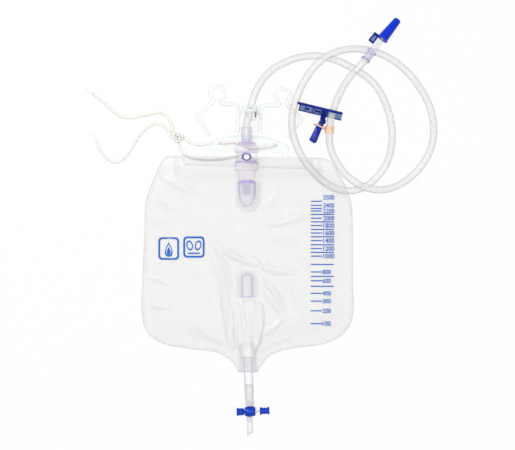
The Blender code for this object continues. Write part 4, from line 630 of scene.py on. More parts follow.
# Painted sheen: a pale grey-blue for the lamp's reflection on the clip's back jaw and on the web in the cap's loop.
SHEEN_PAINTED_BLUE = Plastic("sheen_painted_blue", (0.17, 0.26, 0.48), (0.12, 0.20, 0.41), 0.24, 0.08, 160, shine=0.5)
STEM_WHITE = Plastic("stem_white", (0.93, 0.92, 0.86), (0.88, 0.87, 0.81), 0.25)
SEAL_BLACK = Plastic("seal_black", (0.02, 0.02, 0.022), (0.03, 0.03, 0.03), 0.5)
BAND_PEACH = ClearMoulding("band_peach", (1.0, 0.80, 0.62), (0.98, 0.50, 0.22), 0.46, 0.85, 1.2, 0.4)
STEEL = Plastic("pin_steel", (0.55, 0.56, 0.58), (0.48, 0.49, 0.51), 0.3)
STRING_WHITE = Plastic("string_white", (0.93, 0.93, 0.87), (0.87, 0.86, 0.79), 0.85, 0.05, 700, 0.00015, shine=0.2)
TIP_WHITE = Plastic("tip_white", (0.93, 0.93, 0.89), (0.88, 0.87, 0.82), 0.3)
PRINT_BLUE = Plastic("print_blue", (0.012, 0.125, 0.52), (0.018, 0.14, 0.56), 0.45, 0.1, 400, shine=0.2)


@dataclass(frozen=True)
class Studio:
    """Camera, lights and floor.

    Attributes:
        view_width: width of what the camera sees at the table, in metres.
        centre: what the middle of the picture looks at.
        height: the camera's height over the table.
        surround: brightness of the surround as light.
        mirrored: its brightness in what shiny surfaces mirror.
        plain_floor: how much of the table's look is its own plain white.
        lamps: name, place, size and power of each lamp.
    """

    view_width: float = 0.5768
    centre: tuple[float, float] = (0.01126, 0.03976)
    height: float = 2.6
    surround: float = 0.54
    mirrored: float = 0.45
    plain_floor: float = 0.93
    lamps: tuple[tuple[str, Triple, float, float], ...] = (
        ("key", (-0.8, 1.0, 1.6), 0.5, 15.0), ("fill", (1.1, -0.7, 1.6), 0.7, 4.0),
        ("overhead", (0.0, 0.1, 3.3), 2.4, 29.0))

    def build(self) -> None:
        """Adds the camera, the lamps, the world and the floor."""
        lens = bpy.data.cameras.new("camera")
        lens.sensor_width = 36
        lens.lens = lens.sensor_width * self.height / self.view_width
        camera = on_scene("camera", lens)
        camera.location = (*self.centre, self.height)
        bpy.context.scene.camera = camera
        for name, place, size, power in self.lamps:
            lamp = bpy.data.lights.new(name, "AREA")
            lamp.size, lamp.energy = size, power
            obj = on_scene(name, lamp)
            obj.location = place
            obj.rotation_euler = (Vector((0, 0.03, 0)) - Vector(place)).to_track_quat("-Z", "Y").to_euler()
        self._world()
        self._floor()
        bpy.context.scene.view_settings.view_transform = "Standard"

    def _world(self) -> None:
        """An even pale surround: plain light on the object, less in what it mirrors, white where it is seen."""
        world = bpy.data.worlds.new("studio")
        bpy.context.scene.world = world
        world.use_nodes = True
        tree = world.node_tree
        light = add(tree, "ShaderNodeLightPath").outputs
        mirrored = maths(tree, "MULTIPLY", light["Is Glossy Ray"], self.mirrored - self.surround)
        seen = maths(tree, "MULTIPLY", light["Is Camera Ray"], 1 - self.surround)
        strength = maths(tree, "ADD", maths(tree, "ADD", mirrored, seen), self.surround)
        plug(tree, tree.nodes["Background"], {"Color": (1, 1, 1), "Strength": strength})

    def _floor(self) -> None:
        """A pale table, mostly white by itself so that only a soft shadow shows on it."""
        mesh = bpy.data.meshes.new("table")
        mesh.from_pydata([(x, y, -0.0001) for x, y in ((-4, -4), (4, -4), (4, 4), (-4, 4))], [], [(0, 1, 2, 3)])
        material, tree, shader = blank_material("table")
        plug(tree, shader, {"Base Color": (0.82, 0.82, 0.82), "Roughness": 0.9, "Specular IOR Level": 0.0})
        glow = add(tree, "ShaderNodeEmission", {"Strength": 1.0}).outputs["Emission"]
        light = add(tree, "ShaderNodeLightPath").outputs
        seen = maths(tree, "MAXIMUM", light["Is Camera Ray"], light["Is Transmission Ray"])
        look = add(tree, "ShaderNodeMixShader", {
            "Fac": maths(tree, "MULTIPLY", seen, self.plain_floor), 1: shader.outputs["BSDF"], 2: glow})
        plug(tree, tree.nodes["Material Output"], {"Surface": look.outputs["Shader"]})
        mesh.materials.append(material)
        on_scene("table", mesh)


# Where pieces that more than one class uses lie: the hanger, the outlet's start and the connector.
HANGER_PIVOT = (0.0004, 0.1114)
HANGER_TILT = math.radians(-2.0)
HANGER_PLACE = Matrix.Translation((*HANGER_PIVOT, 0)) @ Matrix.Rotation(HANGER_TILT, 4, "Z")
OUTLET_START = (0.0003, -0.1080, 0.0060)
OUTLET_LEAN = math.radians(2.5)
OUTLET_PLACE = Matrix.Translation(OUTLET_START) @ Matrix.Rotation(OUTLET_LEAN, 4, "Z")
CONNECTOR_START = Vector((0.1310, 0.2232, 0.01685))
CONNECTOR_TURN = Matrix.Rotation(math.radians(51.07), 4, "Z") @ Matrix.Rotation(math.radians(11.9), 4, "Y")
CONNECTOR_AXIS = CONNECTOR_TURN @ X


def from_line(x: Grid, y: Grid, a: tuple[float, float], b: tuple[float, float]) -> tuple[Grid, Grid]:
    """How far along a straight line the place nearest to each point lies, from 0 to 1, and how far off it is."""
    dx, dy = b[0] - a[0], b[1] - a[1]
    share = np.clip(((x - a[0]) * dx + (y - a[1]) * dy) / (dx * dx + dy * dy), 0, 1)
    return share, np.hypot(x - a[0] - share * dx, y - a[1] - share * dy)


def depth_inside(x: Grid, y: Grid, edge: Grid) -> Grid:
    """How far points lie inside a closed edge; negative outside."""
    best, inside = np.full(x.shape, 1e9), np.zeros(x.shape, bool)
    for a, b in zip(edge, np.roll(edge, -1, 0)):
        best = np.minimum(best, from_line(x, y, a, b)[1])
        if a[1] != b[1]:
            inside ^= ((a[1] > y) != (b[1] > y)) & (x < a[0] + (y - a[1]) * (b[0] - a[0]) / (b[1] - a[1]))
    return np.where(inside, best, -best)


@dataclass(frozen=True)
class Crease:
    """A fold line of the front film.

    Attributes:
        points_mm: its line, in millimetres.
        height: how far it stands off the film.
        width: half its width.
        milk: how milky its top is, from 0 to 1.
    """

    points_mm: Pairs
    height: float
    width: float
    milk: float

    def ridge(self, x: Grid, y: Grid) -> tuple[Grid, Grid]:
        """Height in metres and milkiness from 0 to 1 of the crease at points of the film."""
        line = smooth_path([Vector((*p, 0)) * MM for p in self.points_mm], 0.004)
        best, along = np.full(x.shape, 1e9), np.zeros(x.shape)
        for i, (a, b) in enumerate(zip(line, line[1:])):
            share, apart = from_line(x, y, a, b)
            along = np.where(apart < best, (i + share) / (len(line) - 1), along)
            best = np.minimum(best, apart)
        fade = np.sin(np.pi * np.clip(0.12 + 0.8 * along, 0, 1)) ** 0.6
        sharp = np.exp(-((best / self.width) ** 2)) * fade
        return self.height * sharp, 0.4 * self.milk * np.exp(-((best / (0.7 * self.width)) ** 2)) * fade


@dataclass(frozen=True)
class BagFilms:
    """The bag's two welded films: outline, hem, pillow, seats of the mouldings, creases and gathers.

    Attributes:
        width: width of the bag.
        height: height of the bag, from its top edge to its neck.
        top_y: where its top edge lies.
        wall: thickness of each film.
        rim: width of the welded band round the edge.
        grid: spacing of the points of the front film.
        back_grid: spacing of the points of the back film.
        hem_grid: spacing of the back film's further points under the hem.
        row_share: distance of the rows of points, as a share of their spacing.
        edge_step: distance between the points of the edge.
        neck_step: the same across the neck.
        puff: how far the front film stands off the back film.
        puff_reach: from the weld to where it stands off fully.
        seat_z: top of the film under the mouldings that are welded to it.
        neck_half: half width of the outlet's neck.
        channel: half width of the channel to the outlet, down the bag.
        left_edge: its left edge, downwards, as shares of half the width and of the height.
        right_edge: its right edge, in the same way.
        seats: middle, half width, lower and upper end of each moulding's seat.
        creases: its folds.
        bar_half: half length of the hanger's bar in the hem.
        bar_low: lower edge of the bar, from the hanger's pivot.
        weld_v: the weld under the bar, from the hanger's pivot.
        hem_lift: how far the string lifts the hem.
        plate: thickness of the bar.
        seat_margin: how far a seat reaches past its moulding.
        seat_slope: width of the slope round a seat.
        weld_milk: how milky the weld line along the edge is.
        weld_line: from the edge to the weld line, and half the line's width.
        slack: height of the film's fine slack.
        channel_lift: how far the film stands up over the channel.
    """

    width: float = 0.2365
    height: float = 0.2422
    top_y: float = 0.1172
    wall: float = 0.0003
    rim: float = 0.0035
    grid: float = 0.00135
    puff: float = 0.0026
    puff_reach: float = 0.034
    seat_z: float = 0.0040
    neck_half: float = 0.0052
    channel: Pairs = (
        (0.040, 0.0075), (0.055, 0.0115), (0.070, 0.0138), (0.085, 0.0138), (0.098, 0.0095), (0.108, 0.0060))
    left_edge: Pairs = (
        (-0.762, 0.0), (-0.814, 0.029), (-0.889, 0.108), (-0.957, 0.200), (-0.975, 0.353), (-0.992, 0.560),
        (-1.0, 0.727), (-0.954, 0.814), (-0.820, 0.865), (-0.544, 0.892), (-0.260, 0.915), (-0.128, 0.962),
        (-0.090, 1.0))
    right_edge: Pairs = (
        (0.706, 0.009), (0.786, 0.025), (0.902, 0.112), (0.981, 0.210), (0.997, 0.394), (1.0, 0.597),
        (0.999, 0.743), (0.924, 0.816), (0.735, 0.868), (0.403, 0.893), (0.214, 0.925), (0.127, 0.974),
        (0.096, 1.0))
    seats: tuple[tuple[float, float, float, float], ...] = (
        (0.0010, 0.0143, 0.0543, 0.0886), (-0.0003, 0.0118, -0.0408, -0.0106))
    creases: tuple[Crease, ...] = (
        Crease(((-39.1, 21.3), (-28.5, 12.9), (-17.3, 6.2), (-3.9, -0.6), (9.6, -4.5), (27.5, -10.1),
                (48.8, -12.9)), 0.0026, 0.0036, 0.80),
        Crease(((-37.5, 19.6), (-31.9, 9.5), (-28.5, -1.7), (-24.0, -10.6), (-18.4, -18.5)), 0.0022, 0.0030, 0.70),
        Crease(((-35.2, -1.7), (-33.0, -13.4), (-27.4, -26.3), (-26.3, -46.5), (-22.9, -64.4), (-20.7, -83.4),
                (-19.5, -102.5)), 0.0024, 0.0034, 0.80),
        Crease(((-24.0, -1.7), (-21.8, -15.1), (-24.0, -33.0), (-20.7, -51.0), (-17.3, -59.9),
                (-21.8, -62.2)), 0.0020, 0.0022, 0.80),
        Crease(((-10.6, -1.7), (-5.0, 2.8), (2.9, 2.2), (11.8, -1.7), (20.8, -10.6)), 0.0016, 0.0028, 0.50),
        Crease(((-19.5, -39.8), (-17.3, -25.2), (-12.8, -12.9), (-7.2, -4.5), (-0.5, -2.2), (6.2, -5.6),
                (10.7, -14.0), (14.1, -26.3), (15.2, -39.8)), 0.0020, 0.0030, 0.50),
        Crease(((15.2, 48.7), (24.1, 42.0), (34.2, 42.0), (48.8, 45.4), (66.7, 51.5)), 0.0018, 0.0040, 0.60),
        Crease(((7.3, 53.2), (19.7, 59.9), (27.5, 66.6), (36.5, 79.0)), 0.0015, 0.0036, 0.50),
        Crease(((16.3, -19.6), (27.5, -30.8), (35.0, -43.1), (38.7, -58.8)), 0.0022, 0.0032, 0.70),
        Crease(((18.2, -39.8), (29.4, -48.7), (39.8, -63.3)), 0.0018, 0.0028, 0.60),
        Crease(((39.3, -65.5), (30.9, -73.4), (18.5, -82.3)), 0.0018, 0.0030, 0.60),
        Crease(((45.4, -88.5), (26.4, -96.9), (16.3, -100.8), (11.3, -110.9)), 0.0020, 0.0032, 0.80),
        Crease(((-11.7, -40.9), (-13.7, -55.4), (-14.4, -73.4), (-13.6, -87.6),
                (-16.7, -100.2)), 0.0022, 0.0026, 0.80),
        Crease(((-6.6, -46.5), (-4.0, -69.4), (-1.1, -89.0), (-0.5, -102.5)), 0.0014, 0.0026, 0.70),
        Crease(((5.7, -46.5), (4.6, -69.4), (2.4, -89.0), (1.7, -102.5)), 0.0014, 0.0026, 0.70),
        Crease(((10.9, -40.9), (15.2, -55.4), (15.8, -73.4), (13.4, -89.0), (8.2, -104.7)), 0.0022, 0.0026, 0.80),
        Crease(((-21.0, -53.2), (-19.5, -62.2), (-18.0, -71.1), (-19.5, -87.6), (-18.2, -100.2),
                (-10.0, -110.9)), 0.0016, 0.0024, 0.60),
        Crease(((-28.5, -1.7), (-24.0, -12.9), (-19.5, -24.1), (-15.1, -34.2),
                (-12.3, -42.0)), 0.0022, 0.0030, 0.60),
        Crease(((-114.7, -18.5), (-100.2, -21.5), (-85.0, -26.0)), 0.0013, 0.0036, 0.45),
        Crease(((-114.7, -49.8), (-100.2, -51.0), (-85.0, -53.0)), 0.0012, 0.0034, 0.40),
        Crease(((-97.9, 96.0), (-75.0, 83.0), (-53.1, 73.0)), 0.0016, 0.0042, 0.45),
        Crease(((-111.9, 79.0), (-85.0, 59.9), (-60.0, 40.0)), 0.0012, 0.0070, 0.20),
        Crease(((66.0, 0.0), (80.0, 12.0), (92.0, 28.0)), 0.0013, 0.0050, 0.30),
        Crease(((-60.0, -70.0), (-40.0, -86.0), (-25.1, -100.0)), 0.0013, 0.0060, 0.30),
        Crease(((16.3, 27.4), (40.9, 19.6), (61.1, 21.8)), 0.0011, 0.0055, 0.25),
        Crease(((-100.2, 43.1), (-80.0, 49.8), (-57.6, 46.5)), 0.0010, 0.0060, 0.20),
        Crease(((-69.9, 6.2), (-57.6, -8.4), (-48.7, -28.6), (-45.3, -51.0)), 0.0012, 0.0060, 0.25),
        Crease(((47.7, -27.4), (56.6, -44.2), (58.9, -68.9)), 0.0010, 0.0055, 0.20),
    )
    bar_half: float = 0.0675
    bar_low: float = -0.0041
    weld_v: float = -0.0076
    hem_lift: float = 0.0038
    plate: float = 0.0020
    back_grid: float = 0.006
    hem_grid: float = 0.003
    row_share: float = 0.866
    edge_step: float = 0.003
    neck_step: float = 0.0018
    seat_margin: float = 0.001
    seat_slope: float = 0.0085
    weld_milk: float = 0.30
    weld_line: tuple[float, float] = (0.0021, 0.0009)
    slack: float = 0.00080
    channel_lift: float = 0.0018

    def build(self) -> None:
        """Makes both films."""
        edge = self.edge()
        self._film("film_front", "front_film", edge, self.grid, CLEAR_FILM, True)
        self._film("film_back", "back_film", edge, self.back_grid, BACK_FILM, False)

    def edge(self) -> Grid:
        """The edge of the bag, anticlockwise, at even steps."""
        def side(shares: Pairs) -> list[Vector]:
            """One side of the bag, downwards or upwards."""
            places = [Vector((s * self.width / 2, self.top_y - t * self.height, 0)) for s, t in shares]
            return smooth_path(places, self.edge_step)

        right, left = side(self.right_edge[::-1]), side(self.left_edge)
        top = smooth_path([right[-1], left[0]], self.edge_step)[1:-1]
        neck = smooth_path([left[-1], right[0]], self.neck_step)[1:-1]
        return np.array([(p.x, p.y) for p in right + top + left + neck])

    def back_z(self, x: Grid, y: Grid) -> Grid:
        """Underside of the back film, lifted at the hem by the string beneath it."""
        side = smooth01((self.bar_half + 0.0185 - np.abs(x - HANGER_PIVOT[0])) / 0.0135)
        return self.hem_lift * side * smooth01((y - 0.0840) / 0.0185)

    def front_z(self, x: Grid, y: Grid, inside: Grid) -> tuple[Grid, Grid]:
        """Top of the front film, and how milky it is.

        Args:
            x: places across the bag.
            y: places up the bag.
            inside: how far each place lies inside the edge.

        Returns:
            Heights in metres, and milkiness from 0 to 1.
        """
        u, v, cos, sin = x - HANGER_PIVOT[0], y - HANGER_PIVOT[1], math.cos(HANGER_TILT), math.sin(HANGER_TILT)
        across, up = u * cos + v * sin, -u * sin + v * cos
        bar = smooth01((self.bar_half + 0.006 - np.abs(across)) / 0.004)
        bar = bar * smooth01((up - self.weld_v) / (self.bar_low - 0.0009 - self.weld_v))
        held = self.back_z(x, y) + 2 * self.wall + GAP + bar * (self.plate + 2 * GAP)
        free = inside - self.rim
        puff = smooth01(free / self.puff_reach) * smooth01((self.weld_v - 0.002 - up) / 0.014)
        half = np.interp(-y, *zip(*self.channel))
        reach = smooth01((-0.0400 - y) / 0.006) * smooth01((y + 0.112) / 0.012)
        reach = reach * smooth01((half - np.abs(x - OUTLET_START[0])) / 0.005 + 0.5)
        rise, milk = np.zeros(x.shape), 0.06 * reach
        for crease in self.creases:
            height, white = crease.ridge(x, y)
            rise, milk = np.maximum(rise, height), np.maximum(milk, white)
        rise = rise * smooth01(free / 0.006) + self._wrinkles(x, y) * smooth01(free / 0.02)
        middle = OUTLET_START[0] + (OUTLET_START[1] - y) * math.tan(OUTLET_LEAN)
        over_neck = np.exp(-(((x - middle) / (1.38 * self.neck_half)) ** 4)) * smooth01((-0.086 - y) / 0.019)
        neck = (OUTLET_START[2] + self.neck_half + GAP + 0.0002 - self.wall) * over_neck
        height = held + self.puff * puff + (self.channel_lift * reach + rise) * smooth01(puff * 3) + neck
        seat = self._seat(x, y)
        height = np.where(up > self.weld_v, held, height + seat * (self.seat_z - height))
        milk = np.where(up > self.weld_v - 0.002, 0, milk * (1 - seat))
        weld_in, weld_half = self.weld_line
        weld = self.weld_milk * np.exp(-(((inside - weld_in) / weld_half) ** 2))
        clearer = 0.45 * smooth01((up - self.weld_v + 0.001) / 0.002) + 0.9 * over_neck + 0.15 * seat
        return height, np.maximum(milk, weld) - clearer

    def _wrinkles(self, x: Grid, y: Grid) -> Grid:
        """Fine slack of the film, as heights."""
        return np.array([self.slack * noise.fractal(Vector((a * 24, b * 17, 3.1)), 1.0, 2.1, 3) for a, b in zip(x, y)])

    def _seat(self, x: Grid, y: Grid) -> Grid:
        """1 under the mouldings welded to the film, falling to 0 around them."""
        best = np.zeros(x.shape)
        for middle, half, low, high in self.seats:
            past = np.maximum.reduce([np.abs(x - middle) - half, low - y, y - high]) - self.seat_margin
            best = np.maximum(best, 1 - smooth01(past / self.seat_slope))
        return best

    def _film(self, name: str, node: str, edge: Grid, pitch: float, finish: Film, top: bool) -> None:
        """One film over the bag.

        Args:
            name: the piece's name.
            node: the CAD node that it stands for.
            edge: the edge of the bag.
            pitch: spacing of its points.
            finish: what it is made of.
            top: True for the front film.
        """
        row_pitch = pitch * self.row_share
        rows = int(self.height / row_pitch) + 1
        across = np.arange(-int(self.width / pitch / 2) - 1, int(self.width / pitch / 2) + 2) * pitch
        x = np.concatenate([across + pitch / 2 * (row % 2) for row in range(rows)])
        y = np.repeat(self.top_y - np.arange(rows) * row_pitch, len(across))
        if not top:
            hem_x, hem_y = np.meshgrid(np.arange(-0.118, 0.118, self.hem_grid), np.arange(0.083, 0.116, self.hem_grid))
            x, y = np.concatenate([x, hem_x.ravel()]), np.concatenate([y, hem_y.ravel()])
        keep = depth_inside(x, y, edge) > pitch * 0.5
        points = np.concatenate([edge, np.stack([x[keep], y[keep]], 1)])
        round_it = [(i, (i + 1) % len(edge)) for i in range(len(edge))]
        flat, _, faces, *_ = delaunay_2d_cdt([Vector(p) for p in points], round_it, [], 1, 1e-7)
        x, y = np.array([(p.x, p.y) for p in flat]).T
        if top:
            z, milk = self.front_z(x, y, depth_inside(x, y, edge))
        else:
            z, milk = self.back_z(x, y), -0.70 * smooth01((y - HANGER_PIVOT[1] - self.weld_v) / 0.002)
        mesh = bpy.data.meshes.new(name)
        mesh.from_pydata(np.column_stack([x, y, z]).tolist(), [], faces)
        mesh.attributes.new(CREASE_MASK, "FLOAT", "POINT").data.foreach_set("value", milk.astype(np.float32))
        mesh.shade_smooth()
        thicken(riding(name, mesh, finish, nodes=(node,)), self.wall, -1 if top else 1)


@dataclass(frozen=True)
class InletTube:
    """The long clear tube from the drip chamber to the connector.

    Attributes:
        radius: outer radius.
        length: length of its middle line.
        step: distance between the points of its middle line.
        route_mm: its middle line up to the connector.
    """

    radius: float = 0.00405
    length: float = 1.012
    step: float = 0.0030
    route_mm: tuple[Triple, ...] = (
        (-0.9, 135.6, 15.5), (-0.9, 142, 15.5), (-0.9, 149.5, 15.5), (0.9, 160, 14.6), (4.3, 173, 13.3),
        (8.5, 186.5, 11.7), (14, 197.5, 9.8), (22, 208, 7.8), (31, 215.5, 6.1), (41, 221, 4.8), (53.5, 226, 4.2),
        (66.5, 228.6, 4.15), (79, 228.8, 4.15), (90, 226.8, 4.15), (101, 223.2, 4.15), (115, 216.6, 4.15),
        (130.5, 207.5, 4.15), (143.5, 195.5, 4.15), (151.5, 182.5, 4.15), (157.5, 167, 4.15), (161.3, 150, 4.15),
        (161.8, 136, 4.15), (160, 122, 4.15), (155, 107.5, 4.15), (146, 94.5, 4.15), (136, 85.5, 4.2),
        (124, 79.5, 4.5), (110.5, 78, 5.6), (98, 81, 6.7), (87, 87, 7.5), (77.5, 95, 10.0), (68.5, 105, 12.2),
        (61.5, 115, 12.2), (55.5, 126.5, 12.2), (51.2, 139.5, 12.2), (49.5, 152.5, 12.2), (50.2, 165, 12.2),
        (52.7, 174.5, 12.1), (57, 186.5, 11.2), (63, 199.5, 10.8), (71, 211.5, 11.5), (79.5, 220.8, 12.5),
        (88, 227.3, 12.9), (97, 231.8, 12.3), (107, 235, 10.3), (117, 236.5, 7.8), (127, 236.3, 5.6),
        (137.5, 234.5, 4.4), (147.5, 231.5, 4.15), (157, 227.3, 4.15), (166, 221.8, 4.15), (175.5, 214, 4.15),
        (185, 204, 4.15), (194, 191.3, 4.15), (200.5, 180, 4.15), (205, 168.5, 4.15), (207.7, 156.5, 4.15),
        (208.3, 145, 4.15), (207.3, 134.5, 4.15), (204.5, 124, 4.15), (199.3, 113, 4.15), (190, 100.5, 4.2),
        (178, 89.8, 4.6), (164.5, 82.3, 6.4), (150.5, 79, 9.7), (138, 79.8, 12.5), (127.5, 83.3, 12.7),
        (118, 89, 10.0), (109.5, 96.5, 7.0), (101.8, 106.8, 5.4), (95.8, 117.8, 4.8), (92.5, 128, 4.8),
        (91.5, 138.5, 5.8), (92, 150.5, 7.1), (94, 162, 7.9), (97.2, 172, 8.3), (102, 184, 9.9),
        (108.8, 197, 12.9), (117, 208.2, 16.1), (124.2, 215.6, 17.7))

    def path(self) -> list[Vector]:
        """The tube's middle line, from its socket into the connector's sleeve."""
        inserted = [CONNECTOR_START + CONNECTOR_AXIS * along for along in (-0.004, 0.001, 0.005, 0.0092)]
        return smooth_path([*(Vector(p) * MM for p in self.route_mm), *inserted], self.step)

    def build(self, with_pieces: list[bpy.types.Object | str]) -> None:
        """Args:
            with_pieces: the connector, its cap and what is clipped to the tube; not used.
        """
        path = self.path()
        mesh = sweep("inlet_tube", path, self.radius, 24)
        tube = riding("inlet_tube", mesh, TUBE_CLEAR, nodes=("drain_tube",))
        LOG.info("tube: %.3f m", path_length(path))


def grown(obj: bpy.types.Object, tree: bpy.types.NodeTree, values: dict[str, object]) -> bpy.types.Mesh:
    """The mesh that a Geometry Nodes tree makes of an object.

    Args:
        obj: the object, which is gone afterwards.
        tree: the tree.
        values: its inputs by name; they are set by their identifiers.

    Returns:
        The plain mesh.
    """
    modifier = obj.modifiers.new(tree.name, "NODES")
    modifier.node_group = tree
    for socket in tree.interface.items_tree:
        if socket.item_type == "SOCKET" and socket.in_out == "INPUT" and socket.name in values:
            modifier[socket.identifier] = values[socket.name]
    return applied(obj)


def finish_tree(tree: bpy.types.NodeTree, made: bpy.types.NodeSocket) -> bpy.types.NodeTree:
    """Ends a Geometry Nodes tree: what it made is realized and takes the tree's Material input."""
    real = add(tree, "GeometryNodeRealizeInstances", {"Geometry": made}).outputs["Geometry"]
    paint = add(tree, "GeometryNodeSetMaterial", {
        "Geometry": real, "Material": tree.nodes["in"].outputs["Material"]})
    plug(tree, tree.nodes["out"], {"Geometry": paint.outputs["Geometry"]})
    return tree


@cache
def laid_string_tree() -> bpy.types.NodeTree:
    """The tree that turns a line into soft laid string: a lobed section that twists as it goes."""
    shape = ("Geometry", None)
    tree = node_group("laid_string", "GeometryNodeTree", {
        "Geometry": shape, "Radius": ("Float", 0.0017), "Lobes": ("Float", 3.0), "Lobe Depth": ("Float", 0.09),
        "Turns per Metre": ("Float", 105.0), "Step": ("Float", 0.0008), "Material": ("Material", None)},
        {"Geometry": shape})
    given = tree.nodes["in"].outputs
    even = add(tree, "GeometryNodeResampleCurve", {"Curve": given["Geometry"], "Length": given["Step"]}, mode="LENGTH")
    along, around = (add(tree, "GeometryNodeSplineParameter").outputs for _ in range(2))
    turns = maths(tree, "MULTIPLY", along["Length"], given["Turns per Metre"])
    twisted = add(tree, "GeometryNodeSetCurveTilt", {
        "Curve": even.outputs["Curve"], "Tilt": maths(tree, "MULTIPLY", turns, 2 * math.pi)})
    ring = add(tree, "GeometryNodeCurvePrimitiveCircle", {"Resolution": 18, "Radius": given["Radius"]})
    angle = maths(tree, "MULTIPLY", maths(tree, "MULTIPLY", around["Factor"], given["Lobes"]), 2 * math.pi)
    lobe = maths(tree, "MULTIPLY", maths(tree, "ADD", maths(tree, "COSINE", angle), -1.0),
                 maths(tree, "MULTIPLY", given["Lobe Depth"], 0.5))
    here = add(tree, "GeometryNodeInputPosition").outputs["Position"]
    scaled = add(tree, "ShaderNodeVectorMath", {0: here, "Scale": maths(tree, "ADD", lobe, 1.0)}, operation="SCALE")
    section = add(tree, "GeometryNodeSetPosition", {
        "Geometry": ring.outputs["Curve"], "Position": scaled.outputs["Vector"]})
    body = add(tree, "GeometryNodeCurveToMesh", {
        "Curve": twisted.outputs["Curve"], "Profile Curve": section.outputs["Geometry"], "Fill Caps": True})
    smooth = add(tree, "GeometryNodeSetShadeSmooth", {"Geometry": body.outputs["Mesh"]})
    return finish_tree(tree, smooth.outputs["Geometry"])


